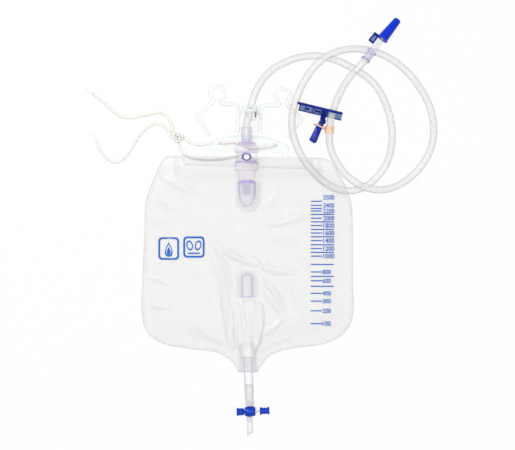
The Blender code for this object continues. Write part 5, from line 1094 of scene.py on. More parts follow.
@dataclass(frozen=True)
class Inlet:
    """The socket with its dome, the drip chamber, the vent and the boot.

    Attributes:
        x: middle of the inlet.
        z: height of its axis.
        oval: how far the chamber's front and back are flattened.
        cap_low: lower edge of the dome.
        chamber_low: foot of the chamber.
        vent_y: middle of the vent.
        boot_top: open end of the boot.
        boot_length: from there to the closed end of its scoop.
        boot_half: half width of the scoop.
        base: top of the boot's flange.
    """

    x: float = -0.0009
    z: float = 0.015554
    oval: tuple[float, float] = (0.70, 0.38)
    cap_low: float = 0.1201
    chamber_low: float = 0.0893
    vent_y: float = 0.1154
    boot_top: float = 0.0886
    boot_length: float = 0.0288
    boot_half: float = 0.0102
    base: float = 0.0054

    def build(self) -> None:
        """Makes the inlet's pieces."""
        self._cap()
        self._chamber()
        self._boot()

    def _cap(self) -> None:
        """The tube's socket and the dome under it, with the drip nozzle inside."""
        socket_at = [(0, 0.0283, 0), (0.0044, 0.0283, 0.2), (0.00590, 0.0283, 0.5), (0.00600, 0.0272, 0.35),
                     (0.00592, 0.0262, 0.1), (0.00588, 0.0180, 0), (0.00592, 0.0156, 0.1), (0.0060, 0.0148, 0.45),
                     (0.0060, 0.0140, 0.3), (0.00592, 0.0133, 0), (0.00592, 0.0112, 0.2), (0, 0.0112, 0)]
        profile = [(0, 0.0122, 0), (0.0060, 0.0122, 0.3), (0.0072, 0.0120, 0.40), (0.0087, 0.0114, 0.55),
                   (0.0103, 0.0102, 0.50), (0.0115, 0.0087, 0.35), (0.0122, 0.0070, 0.12), (0.0128, 0.0046, 0.05),
                   (0.0132, 0.0024, 0.1), (0.0133, 0.0010, 0.45), (0.0132, 0, 0.45), (0.0118, 0, 0.1), (0, 0, 0)]
        origin = Vector((self.x, self.cap_low, self.z))
        socket = turned("socket", socket_at, origin, Y, 40)
        cap = turned("cap", profile, origin, Y, 48, self.oval, 0.0062)
        nozzle = turned("nozzle", [(0, 0.0040, 0), (0.0022, 0.0040, 0.2), (0.0026, 0.0100, 0.1), (0.0040, 0.0140, 0.3),
                                   (0.0040, 0.0150, 0.5), (0, 0.0150, 0)], origin, Y, 24)
        piece("inlet_dome", "inlet_cap",
              [(cap, CHAMBER_VIOLET), (socket, SOCKET_VIOLET), (nozzle, SOCKET_VIOLET)])

    def _chamber(self) -> None:
        """The chamber: its barrel, the skirt round its middle, the foot and the vent's boss."""
        profile = [(0, 0.0312, 0), (0.0104, 0.0312, 0.1), (0.0113, 0.0306, 0), (0.0116, 0.0296, 0),
                   (0.0116, 0.0226, 0), (0.0117, 0.0218, 0.45), (0.0121, 0.0211, 0.7), (0.0126, 0.0200, 0.6),
                   (0.0130, 0.0188, 0.30), (0.0132, 0.0172, 0.08), (0.0133, 0.0150, 0), (0.0132, 0.0130, 0),
                   (0.0126, 0.0115, 0.35), (0.0110, 0.0103, 0.15), (0.0101, 0.0088, 0), (0.0098, 0.0050, 0),
                   (0.0095, 0.0020, 0), (0.0086, 0.0003, 0.25), (0.0070, 0, 0.1), (0.0050, 0, 0.3),
                   (0.0049, -0.0010, 0.85), (0.0049, -0.0030, 0.7), (0.0046, -0.0042, 0.2), (0, -0.0042, 0)]
        body = turned("barrel", profile, Vector((self.x, self.chamber_low, self.z)), Y, 48, self.oval, 0.0051)
        top = self.z + 0.0116 * self.oval[0]
        boss = turned("boss", [(0.0041, 0, 0.2), (0.0041, 0.0014, 0.8), (0.0034, 0.0014, 0.8), (0.0034, 0, 0.2)],
                      Vector((self.x, self.vent_y, top - 0.0006)), Z, 40)
        piece("drip_barrel", "drip_chamber", [(body, CHAMBER_VIOLET), (boss, CHAMBER_VIOLET)])
        vent = self._vent_ring(Vector((self.x, self.vent_y, top + 0.0016)))
        piece("vent_collar", "vent_ring", [(vent, EDGE_VIOLET)])

    def _vent_ring(self, middle: Vector) -> bpy.types.Mesh:
        """The vent's raised ring: a wide oval that is thickest at both its sides."""
        rings = []
        for a in angles(48):
            out = Vector((math.cos(a), math.sin(a), 0))
            thick = 0.00045 + 0.00055 * math.cos(a) ** 2
            place = middle + Vector((0.0045 * math.cos(a), 0.0037 * math.sin(a), 0))
            rings.append([place + out * thick * math.cos(t) + Z * 0.0007 * math.sin(t) for t in angles(12)])
        return skin("vent", rings, 60, True)

    def _boot(self) -> None:
        """The boot: a thin scoop with a thick mouth, on a flange that is welded to the film."""
        height = self.z + 0.0067 - self.base
        rows = []
        for i in range(25):
            share = 0.985 * math.sin(math.pi / 2 * i / 24)
            width = self.boot_half * math.sqrt(1 - share ** 3) * (1 - 0.05 * (1 - share) ** 2)
            rise = height * (1 - share ** 1.7) ** 0.9
            rows.append([(self.x + 0.0004 + max(width, 0.0008) * math.cos(a),
                          self.boot_top - share * self.boot_length,
                          self.base - 0.0002 + max(rise, 0.0006) * math.sin(a))
                         for a in (math.pi * k / 24 for k in range(25))])
        scoop = shell("scoop", rows, [0.75 if i < 2 else 0.0 for i in range(25)], 0.0009)
        low, half = self.boot_top - self.boot_length, self.boot_half - 0.0012
        hole = u_outline(self.x + 0.0004, half, low + 0.0022, self.boot_top - 0.0016)
        flange = plate("flange", [u_outline(0.0010, 0.0143, 0.0543, self.boot_top), hole], 0.0043, self.base, 0.0004)
        piece("boot_scoop", "inlet_boot", [(scoop, BOOT_VIOLET), (flange, FLANGE_CLEAR)])


def u_outline(middle: float, half: float, low: float, high: float) -> Outline:
    """A plate outline with a round lower end."""
    half_turn = (math.pi * i / 28 for i in range(29))
    arc = [(middle - half * math.cos(a), low + half - half * math.sin(a)) for a in half_turn]
    return [(middle + half, high), (middle - half, high), *arc]


@dataclass(frozen=True)
class SpoutPocket:
    """The dock on the front film for the folded outlet.

    Attributes:
        x: its middle.
        top: where its dome starts.
        mouth: its open lower end.
        half: half width of the dome.
        height: height of the dome.
        base: top of its flange.
    """

    x: float = -0.0003
    top: float = -0.0140
    mouth: float = -0.0408
    half: float = 0.0067
    height: float = 0.0086
    base: float = 0.0054

    def build(self) -> None:
        """Makes the pocket."""
        rows = []
        length = self.top - self.mouth
        for i in range(29):
            y = length * i / 28
            curve = math.sqrt(1 - (1 - min(y / self.half, 1.0)) ** 2) if y < self.half else 1.0
            flare = 0.0009 * float(smooth01((y - length + 0.0045) / 0.0045))
            half, height = max(self.half * curve, 0.0006) + flare, max(self.height * curve, 0.0005) + flare
            rows.append([(self.x + half * math.cos(a), self.top - y, self.base - 0.0002 + height * math.sin(a))
                         for a in (math.pi * k / 22 for k in range(23))])
        dome = shell("dome", rows, [0.9 if i >= 27 else 0.75 if i == 24 else 0.0 for i in range(29)], 0.0010)
        outline = [(x, -y) for x, y in u_outline(self.x, 0.0118, 0.0106, -self.mouth)]
        hole = [(x, -y) for x, y in u_outline(self.x, self.half - 0.0012, 0.0022 - self.top, -self.mouth - 0.0010)]
        flange = plate("flange", [outline, hole], 0.0043, self.base, 0.0004)
        piece("pocket_dome", "spout_pocket", [(dome, POCKET_VIOLET), (flange, FLANGE_CLEAR)])


@dataclass(frozen=True)
class Outlet:
    """Neck, sleeve, push-pull valve and spout along the outlet's leaning axis.

    Attributes:
        valve_at: from the start to the valve.
        half: half length of the valve's barrel.
        travel: how far the plunger stands out to the right.
        knobs: lengths of the left and the right knob.
        bore: how deep the plunger's shaft stands in a knob.
        way_x: middle of the spout, aside of the axis.
        way: radius of the spout.
        slant_from: from the spout's start to where its slanted end begins.
        slant: how much the slanted end takes off in its middle.
    """

    valve_at: float = 0.0606
    half: float = 0.0059
    travel: float = 0.0047
    knobs: tuple[float, float] = (0.0088, 0.0108)
    bore: float = 0.0058
    way_x: float = -0.0009
    way: float = 0.0033
    slant_from: float = 0.0195
    slant: float = 0.00165

    def _at(self, across: float, down: float) -> Vector:
        """A place beside and down the axis."""
        return OUTLET_PLACE @ Vector((across, -down, 0))

    def build(self) -> None:
        """Makes the outlet's pieces."""
        turn = OUTLET_PLACE.to_3x3()
        down, across = turn @ -Y, turn @ X
        start = self._at(0, 0)
        neck = [(0, 0.0002, 0), (0.0040, 0, 0.3), (0.0054, 0, 0.5), (0.0053, 0.0016, 0.1), (0.0051, 0.006, 0),
                (0.0050, 0.010, 0), (0.0049, 0.022, 0), (0.0050, 0.0300, 0.05), (0.0052, 0.0316, 0.2),
                (0.0052, 0.0325, 0.4), (0, 0.0325, 0)]
        piece("neck_tube", "outlet_neck", [(turned("neck", neck, start, down, 36), NECK_VIOLET)])
        sleeve = [(0, 0.0300, 0), (0.0033, 0.0300, 0), (0.0033, 0.0326, 0), (0.0051, 0.0328, 0.1), (0.0050, 0.0360, 0),
                  (0.0049, 0.0400, 0), (0.0047, 0.0430, 0.1), (0.0046, 0.0437, 0.3), (0.0047, 0.0443, 0.1),
                  (0.0045, 0.0510, 0), (0.0044, 0.0540, 0.1), (0.0040, 0.0544, 0.2), (0, 0.0544, 0)]
        piece("sleeve_tube", "outlet_sleeve",
              [(turned("sleeve", sleeve, start, down, 36), SLEEVE_CLEAR)])
        self._valve(across, down)
        self._spout(down)

    def _valve(self, across: Vector, down: Vector) -> None:
        """The valve's barrel with its spigots, and the two knobs of its plunger."""
        at, half = self._at(0, self.valve_at), self.half
        barrel = [(0.0030, -half), (0.0049, -half), (0.0051, -half + 0.0003), (0.0051, -half + 0.0012),
                  (0.0054, -half + 0.0020), (0.0057, -half + 0.0030), (0.0057, half - 0.0030), (0.0054, half - 0.0020),
                  (0.0051, half - 0.0012), (0.0051, half - 0.0003), (0.0049, half), (0.0030, half)]
        spigots = [(turned("spigot", [(0, 0.0050), (radius, 0.0050), (radius, 0.0117), (0.0014, 0.0117), (0, 0.0100)],
                           self._at(aside, self.valve_at), way, 24), SPIGOT_BLUE)
                   for radius, aside, way in ((0.0025, 0, -down), (0.0022, self.way_x, down))]
        piece("valve_barrel", "valve_body", [(turned("barrel", barrel, at, across, 40), BLUE), *spigots])
        face = half + GAP
        end = face + self.knobs[0]
        knob = [(0.0017, face), (0.0033, face), (0.0035, face + 0.0003), (0.0037, face + 0.0018),
                (0.0041, face + 0.0026), (0.0040, end - 0.0030), (0.0041, end - 0.0020), (0.0046, end - 0.0014),
                (0.0046, end - 0.0003), (0.0043, end), (0, end), (0, face + self.bore), (0.0017, face + self.bore)]
        piece("knob_left", "plunger_knob_left", [(turned("knob", knob, at, -across, 36), BLUE)], Body.PLUNGER)
        face = face + self.travel
        end = face + self.knobs[1]
        knob = [(0.0017, face), (0.0041, face), (0.0043, face + 0.0003), (0.0043, face + 0.0014),
                (0.0036, face + 0.0026), (0.0036, end - 0.0022), (0.0043, end - 0.0014), (0.0043, end - 0.0003),
                (0.0040, end), (0, end), (0, face + self.bore), (0.0017, face + self.bore)]
        piece("knob_right", "plunger_knob_right", [(turned("knob", knob, at, across, 36), BLUE)], Body.PLUNGER)

    def _spout(self, down: Vector) -> None:
        """The spout, cut off at a slant."""
        start = self.valve_at + 0.0060
        spout = [(self.way, start, 0.1), (self.way, start + 0.0214, 0.3), (0.0023, start + 0.0214, 0.2),
                 (0.0022, start + 0.0170, 0), (0, start + 0.0165, 0), (0, start, 0)]
        mesh = turned("spout", spout, self._at(self.way_x, 0), down, 32)
        back = OUTLET_PLACE.inverted()
        for vertex in mesh.vertices:
            here = back @ vertex.co
            if -here.y > start + self.slant_from:
                vertex.co -= down * self.slant * (1 + (here.x - self.way_x) / self.way)
        piece("spout_tube", "outlet_spout", [(mesh, SPOUT_CLEAR)])


@dataclass(frozen=True)
class Connector:
    """The tube's connector and the push-on cap with its side loop.

    Attributes:
        cap_start: from its start to the cap.
        cap_length: length of the cap.
    """

    cap_start: float = 0.0314
    cap_length: float = 0.0291

    def build(self) -> list[bpy.types.Object]:
        """Makes the connector and its cap.

        Returns:
            Both pieces.
        """
        sleeve = [(0.00435, 0, 0.6), (0.0054, 0, 1), (0.0057, 0.0003, 1), (0.0057, 0.0011, 1), (0.0050, 0.0014, 0.4),
                  (0.0050, 0.0020, 0), (0.0050, 0.0108, 0), (0.0050, 0.0114, 0.4), (0.0057, 0.0117, 1),
                  (0.0057, 0.0125, 1), (0.0054, 0.0128, 1), (0.0046, 0.0128, 0.4), (0.0045, 0.0136, 0),
                  (0.0040, 0.0200, 0), (0.0038, 0.0240, 0.2), (0.0031, 0.0314, 0), (0.0023, 0.0490, 0.3),
                  (0.0015, 0.0490, 0.3), (0.0019, 0.0095, 0.2), (0.00435, 0.0095, 0.4)]
        body = piece("connector_body", "tube_connector",
                     [(turned("sleeve", sleeve, CONNECTOR_START, CONNECTOR_AXIS, 40), CONNECTOR_VIOLET)])
        start, end = self.cap_start, self.cap_start + self.cap_length
        cone = [(0.0043, start), (0.0064, start), (0.0067, start + 0.0003), (0.0067, start + 0.0011),
                (0.0062, start + 0.0014), (0.0059, start + 0.0022), (0.0058, start + 0.0040),
                (0.0042, end - 0.0016), (0.0041, end - 0.0008), (0.0036, end - 0.0001), (0.0030, end), (0, end),
                (0, end - 0.0080), (0.0030, end - 0.0082)]
        frame_at = Matrix.Translation(CONNECTOR_START) @ CONNECTOR_TURN
        low, high, inner, outer = start - 0.0110, start + 0.0011, 0.0045, 0.0115
        ring = [(low, inner), (high, inner), (high, outer), (low + 0.001, outer), (low, outer - 0.001)]
        hole = [(low + 0.0016, inner + 0.0016), (high - 0.0032, inner + 0.0016), (high - 0.0032, outer - 0.0016),
                (low + 0.0016, outer - 0.0016)]
        lug = plate("lug", [ring, hole], -0.0013, 0.0013, 0.0003, frame_at)
        # Painted sheen: the web across the loop's opening takes the same pale blue.
        web = plate("web", [hole], -0.0006, 0.0002, 0.0001, frame_at)
        cap = piece("cap_cone", "connector_cap",
                    [(turned("cone", cone, CONNECTOR_START, CONNECTOR_AXIS, 40), CAP_BLUE), (lug, LUG_BLUE),
                     (web, SHEEN_PAINTED_BLUE)])
        return [body, cap]


@dataclass(frozen=True)
class Hanger:
    """The hanger: its bar in the hem, the plate, the post with the tube's clip head and both spring hooks.

    Attributes:
        low: underside of the plate.
        top: top of the plate.
        bar: half length, lower and upper edge of the bar in the hem.
        leg: half distance between the plate's outer edges.
        slot: half length and upper edge of the long opening.
        crown: the plate's upper edge, from its end to the post.
        hole: place and radius of the string's holes.
        post: half width, lower and upper end of the post.
        post_top: top of the post.
        hook_mm: middle line of the right hook.
        rod: radius of the hooks.
    """

    low: float = 0.0044
    top: float = 0.0064
    bar: Triple = (0.0675, -0.0041, 0.0033)
    leg: float = 0.0453
    slot: tuple[float, float] = (0.0386, 0.0105)
    crown: Pairs = ((0.0453, 0.0157), (0.0415, 0.0202), (0.0297, 0.0251), (0.0095, 0.0292))
    hole: Triple = (0.0303, 0.0188, 0.0027)
    post: Triple = (0.0088, 0.0255, 0.0615)
    post_top: float = 0.0074
    hook_mm: Pairs = (
        (12.5, 31), (12.5, 46), (12.5, 57), (14.0, 61.2), (18, 62.7), (25, 62.7), (31, 63.2), (33, 66),
        (30.4, 69.6), (28.4, 74.5), (30.6, 80.0), (36.4, 82.2), (42.4, 80.0), (44.8, 75.1), (43.0, 69.8),
        (40.4, 66.4), (42.4, 63.4), (46.5, 59.8), (52, 54.6), (57, 49.9), (58.0, 48.2), (57.2, 46.2),
        (52, 39.4), (47, 32.6), (45.7, 29.2), (46.6, 25.4))
    rod: float = 0.0022

    def build(self) -> None:
        """Makes the hanger."""
        half, low, high = self.bar
        right = [tuple(p)[:2] for p in smooth_path([Vector((*p, 0)) for p in self.crown], 0.003)]
        crown = right + [(-x, y) for x, y in reversed(right)]
        outer = [(-self.leg, high), (-half, high), (-half, low), (half, low), (half, high), (self.leg, high), *crown]
        end, up = self.slot
        slot = [(-end, high), (-end, up), (end, up), (end, high)]
        u, v, radius = self.hole
        holes = [[(side * u + radius * math.cos(a), v + radius * math.sin(a)) for a in angles(24)] for side in (-1, 1)]
        parts = [plate("plate", [outer, slot, *holes], self.low, self.top, 0.0003, HANGER_PLACE)]
        half, low, high = self.post
        narrow = half * 0.94
        parts.append(plate("post", [[(-half, low), (half, low), (narrow, high), (-narrow, high)]], self.low + 0.0001,
                           self.post_top, 0.0003, HANGER_PLACE))
        for side in (-1, 1):
            rim = [Vector((side * x, y - 0.0009, self.top - 0.0002)) for x, y in right]
            line = smooth_path([Vector((side * x, y, 0)) * MM for x, y in self.hook_mm], 0.0013)
            line = [point + Z * (self.low + self.top) / 2 for point in line]
            bars = [sweep("rim", rim, 0.0007, 10), sweep("hook", line, self.rod, 18)]
            for bar in bars:
                bar.transform(HANGER_PLACE)
            web = sorted((side * 0.0075, side * 0.0118))
            parts += [*bars, box((web[0], 0.0515, self.low + 0.0005), (web[1], 0.0612, self.low + 0.0015),
                                 HANGER_PLACE)]
        piece("hanger_moulding", "hanger",
              [*((part, HANGER_WHITE) for part in (*parts, *self._head())), *self._painted_shade_blocks()])

    def _head(self) -> list[bpy.types.Mesh]:
        """The clip head: a wall on each side of the tube, and the strap across it with its window."""
        left = [(-0.0083, 0.0460), (-0.0060, 0.0460), (-0.0028, 0.0612), (-0.0083, 0.0612)]
        right = [(0.0028, 0.0460), (0.0083, 0.0460), (0.0083, 0.0612), (0.0061, 0.0612)]
        slot = [(0.0062, 0.0485), (0.0076, 0.0485), (0.0076, 0.0585), (0.0062, 0.0585)]
        strap = [(-0.0068, 0.0545), (0.0075, 0.0545), (0.0075, 0.0610), (-0.0068, 0.0610)]
        window = [(-0.0016, 0.0574), (0.0030, 0.0574), (0.0034, 0.0604), (-0.0012, 0.0604)]
        return [*(plate("wall", outlines, self.post_top - 0.0003, 0.01655, 0.0002, HANGER_PLACE)
                  for outlines in ([left], [right, slot])),
                plate("strap", [strap, window], 0.01850, 0.0200, 0.0003, HANGER_PLACE),
                *(box((low, 0.0550, 0.0164), (high, 0.0606, 0.0188), HANGER_PLACE)
                  for low, high in ((-0.0068, -0.0050), (0.0061, 0.0075)))]

    def _painted_shade_blocks(self) -> list[tuple[bpy.types.Mesh, Finish]]:
        """Painted shade: dark blocks in the head's openings, in the side slot, left of the tube and under the strap's
        window.
        """
        blocks = (((0.0060, 0.0484, 0.0085), (0.0078, 0.0586, 0.0095)),
                  ((-0.0030, 0.0494, 0.0074), (-0.0012, 0.0538, 0.0092)),
                  ((-0.0012, 0.0575, 0.0078), (0.0028, 0.0603, 0.0090)))
        return [(box(low, high, HANGER_PLACE), HEAD_PAINTED_SHADE) for low, high in blocks]


@dataclass(frozen=True)
class SheetClip:
    """The clip that holds the tube to a bed sheet: two levers, a pin and a leaf spring.

    Attributes:
        origin: its origin.
        turn: its turn on the table.
        roll: how far it leans.
        jaw: half length of its jaws.
        width: width of the back jaw's plate.
        neck: place of the neck along the jaws, and its half width.
        pin: how far down and how high the pin lies.
        skew: how far the handles lean.
        handle: half width and length of the handles.
        aside: from the middle of the neck to where the handles start.
    """

    origin: Triple = (0.0818, 0.1710, 0.0039)
    turn: float = math.radians(-13.1)
    roll: float = math.radians(8.0)
    jaw: float = 0.0258
    width: float = 0.0090
    neck: tuple[float, float] = (0.0052, 0.0030)
    pin: tuple[float, float] = (-0.0148, 0.0058)
    skew: float = math.radians(-11.5)
    handle: tuple[float, float] = (0.0031, 0.0258)
    aside: float = 0.0014

    def place(self) -> Matrix:
        """The clip's own frame: along its jaws, from its handles towards its jaws, and up."""
        return (Matrix.Translation(self.origin) @ Matrix.Rotation(self.turn, 4, "Z")
                @ Matrix.Rotation(self.roll, 4, "Y"))

    def build(self) -> list[bpy.types.Object]:
        """Makes both levers."""
        return [self._back(), self._front()]

    def _back(self) -> bpy.types.Object:
        """The back lever: a ribbed jaw plate, the ears of the pin and its handle."""
        place, (u, half), (v, w) = self.place(), self.neck, self.pin
        jaw, width = self.jaw, self.width
        dark = [box((-jaw + 0.0016, -width, 0.0002), (jaw, -width + 0.0012, 0.0019), place),
                box((-jaw + 0.0016, -0.0014, 0.0002), (jaw, 0, 0.0019), place),
                box((u - half, v - 0.002, 0.0001), (u + half, -width + 0.001, 0.0021), place, 0.0003)]
        for rib in (-0.0236, -0.0172, -0.0088, -0.0066, 0.0016):
            dark.append(box((rib, -width + 0.0005, 0.0011), (rib + 0.0008, -0.0005, 0.0022), place))
        for low, high in ((-0.0172, -0.0124), (-0.0062, 0.0012)):
            dark.append(box((low + 0.0010, -width + 0.0028, 0.0012), (high, -width + 0.0052, 0.0017), place))
        dark.append(box((0.0030, -width + 0.0004, 0.0011), (0.0088, -0.0004, 0.0023), place, 0.0003))
        for low, high in ((u - half, u - half + 0.0012), (u + half - 0.0012, u + half)):
            dark.append(box((low, v - 0.0022, 0.0010), (high, v + 0.0022, w + 0.0023), place, 0.0003))
        dark.append(self._handle(0.0022, 0.0011, 0.0008, 0.0008, -0.001))
        # Painted sheen: the back jaw's face is a pale copy of the clip's blue.
        pale = box((-jaw + 0.0018, -width + 0.0004, 0), (jaw - 0.0002, -0.0004, 0.0015), place)
        return piece("clip_back_lever", "sheet_clip_back",
                     [*((part, CLIP_BLUE) for part in dark), (pale, SHEEN_PAINTED_BLUE)])

    def _front(self) -> bpy.types.Object:
        """The front lever: a lip along its jaw, the neck over the pin, and its crowned handle."""
        place, (u, half), (v, w) = self.place(), self.neck, self.pin
        low, high = 0.0106, 0.0140
        left = -self.jaw - 0.0026
        wide = half - 0.0015
        lip = box((left, -0.0030, low), (self.jaw - 0.0026, 0, high), place, 0.0006)
        ridge = box((left + 0.0010, -0.0024, high - 0.0002), (self.jaw - 0.0036, -0.0006, high), place)
        barrel = turned("barrel", [(0, 0), (0.0027, 0), (0.0027, 2 * wide), (0, 2 * wide)],
                        place @ Vector((u - wide, v, w)), place.to_3x3() @ X, 28)
        path = [Vector((u, -0.0014, high - 0.0016)), Vector((u, -0.0048, high - 0.0017)),
                Vector((u, -0.0090, high - 0.0036)), Vector((u, v + 0.0010, w + 0.0015))]
        side, up = place.to_3x3() @ X, place.to_3x3() @ Vector((0, 0.5, 0.87))
        neck = loft("neck", [(place @ p, wide, 0.0012) for p in smooth_path(path, 0.0010)], side, up, 4.0)
        root = loft("root", [(place @ Vector((u, v + 0.0008 - 0.0017 * i, w + 0.0012)), wide, 0.0011)
                             for i in range(5)], side, place.to_3x3() @ Z, 4.0)
        # Painted light: this handle takes the brighter, lit copy of the clip's blue.
        grip = self._handle(-0.0014, w + 0.0014, 0.0012, 0.0014, 0.0042)
        return piece("clip_front_lever", "sheet_clip_front",
                     [*((part, CLIP_BLUE) for part in (lip, ridge, barrel, neck, root)), (grip, HANDLE_LIT_BLUE)],
                     Body.CLIP_LEVER)

    def _handle(self, aside: float, height: float, thick: float, crown: float, start: float) -> bpy.types.Mesh:
        """A handle, crowned along its length and across, that leans a little aside."""
        place = self.place()
        turn = Matrix.Rotation(self.skew, 3, "Z")
        half, length = self.handle
        middle = Vector((self.neck[0] - self.aside, self.pin[0], 0))
        stations = []
        for i in range(21):
            share = i / 20
            v = -start - (length - start) * share
            blunt = math.sqrt(max(0.0, 1 - max(0.0, (share - 0.90) / 0.10) ** 2)) * 0.94 + 0.06
            blunt *= 0.8 + 0.2 * float(smooth01(share / 0.15))
            point = turn @ Vector(((0.4 + 0.6 * share) * aside, v, 0)) + middle
            point.z = height + crown * (1 - (2 * share - 1) ** 2) - crown
            stations.append((place @ point, half * blunt, thick * (0.4 + 0.6 * blunt)))
        return loft("handle", stations, place.to_3x3() @ turn @ X, place.to_3x3() @ Z, 2.8)


@dataclass(frozen=True)
class RubberBand:
    """The rubber band: wound round the tube and looped over both of the clip's handles.

    Attributes:
        clip: the clip that it holds.
        path: the tube's middle line.
        ring_y: where it sits on the tube.
        tube: radius of the tube.
        length: length of the winding.
        wall: its thickness.
        strand: radius of a strand.
    """

    clip: SheetClip
    path: tuple[Vector, ...]
    ring_y: float = 0.1462
    tube: float = 0.00405
    length: float = 0.0080
    wall: float = 0.0013
    strand: float = 0.0010

    def build(self) -> bpy.types.Object:
        """Makes the band."""
        before, after = next((a, b) for a, b in zip(self.path, self.path[1:])
                             if 0.080 < a.x < 0.100 and a.y <= self.ring_y < b.y)
        near = before.lerp(after, (self.ring_y - before.y) / (after.y - before.y))
        along = (after - before).normalized()
        inner, half = self.tube + 0.0003, self.length / 2
        outer = inner + self.wall
        profile = [(inner, -half)]
        for wind, deep in ((0, 0.0), (1, 0.0004), (2, 0.0005), (3, 0.0)):
            at, over = -half + self.length * wind / 4, outer - deep
            profile += [(over - 0.0004, at + 0.0001), (over, at + 0.0006), (over, at + 0.0014),
                        (over - 0.0004, at + 0.0019)]
        profile += [(inner, half)]
        parts = [turned("ring", profile, near, along, 32)]
        frame_at = self.clip.place()
        turn = Matrix.Rotation(self.clip.skew, 2)
        middle = turn @ Vector((0, -0.0062)) + Vector((self.clip.neck[0] - self.clip.aside, self.clip.pin[0]))
        side = turn @ Vector((1, 0))
        reach = self.clip.handle[0] + self.strand + 0.0012
        low, high = -self.strand - GAP, self.clip.pin[1] + 0.0012 + 0.0036
        inward = reach - 0.0015
        corners = ((-reach, low + 0.002), (-inward, low), (inward, low), (reach, low + 0.002), (reach, high - 0.002),
                   (inward, high), (-inward, high), (-reach, high - 0.002), (-reach, low + 0.002))
        loop = [frame_at @ Vector((*(middle + side * u), w)) for u, w in corners]
        parts.append(sweep("loop", smooth_path(loop, 0.0008), self.strand, 12))
        right = frame_at @ Vector((*(middle + side * reach), 0.005))
        for shift in (-0.0020, 0.0004, 0.0022):
            target = near + along * shift
            start = right + Z * shift
            end = target + (right - target).normalized() * (self.tube + 0.0010)
            line = smooth_path([start, (start + end) / 2 - Z * 0.0004, end], 0.001)
            parts.append(sweep("link", line, self.strand * 0.8, 10))
        return piece("band_winding", "rubber_band", [(part, BAND_PEACH) for part in parts])


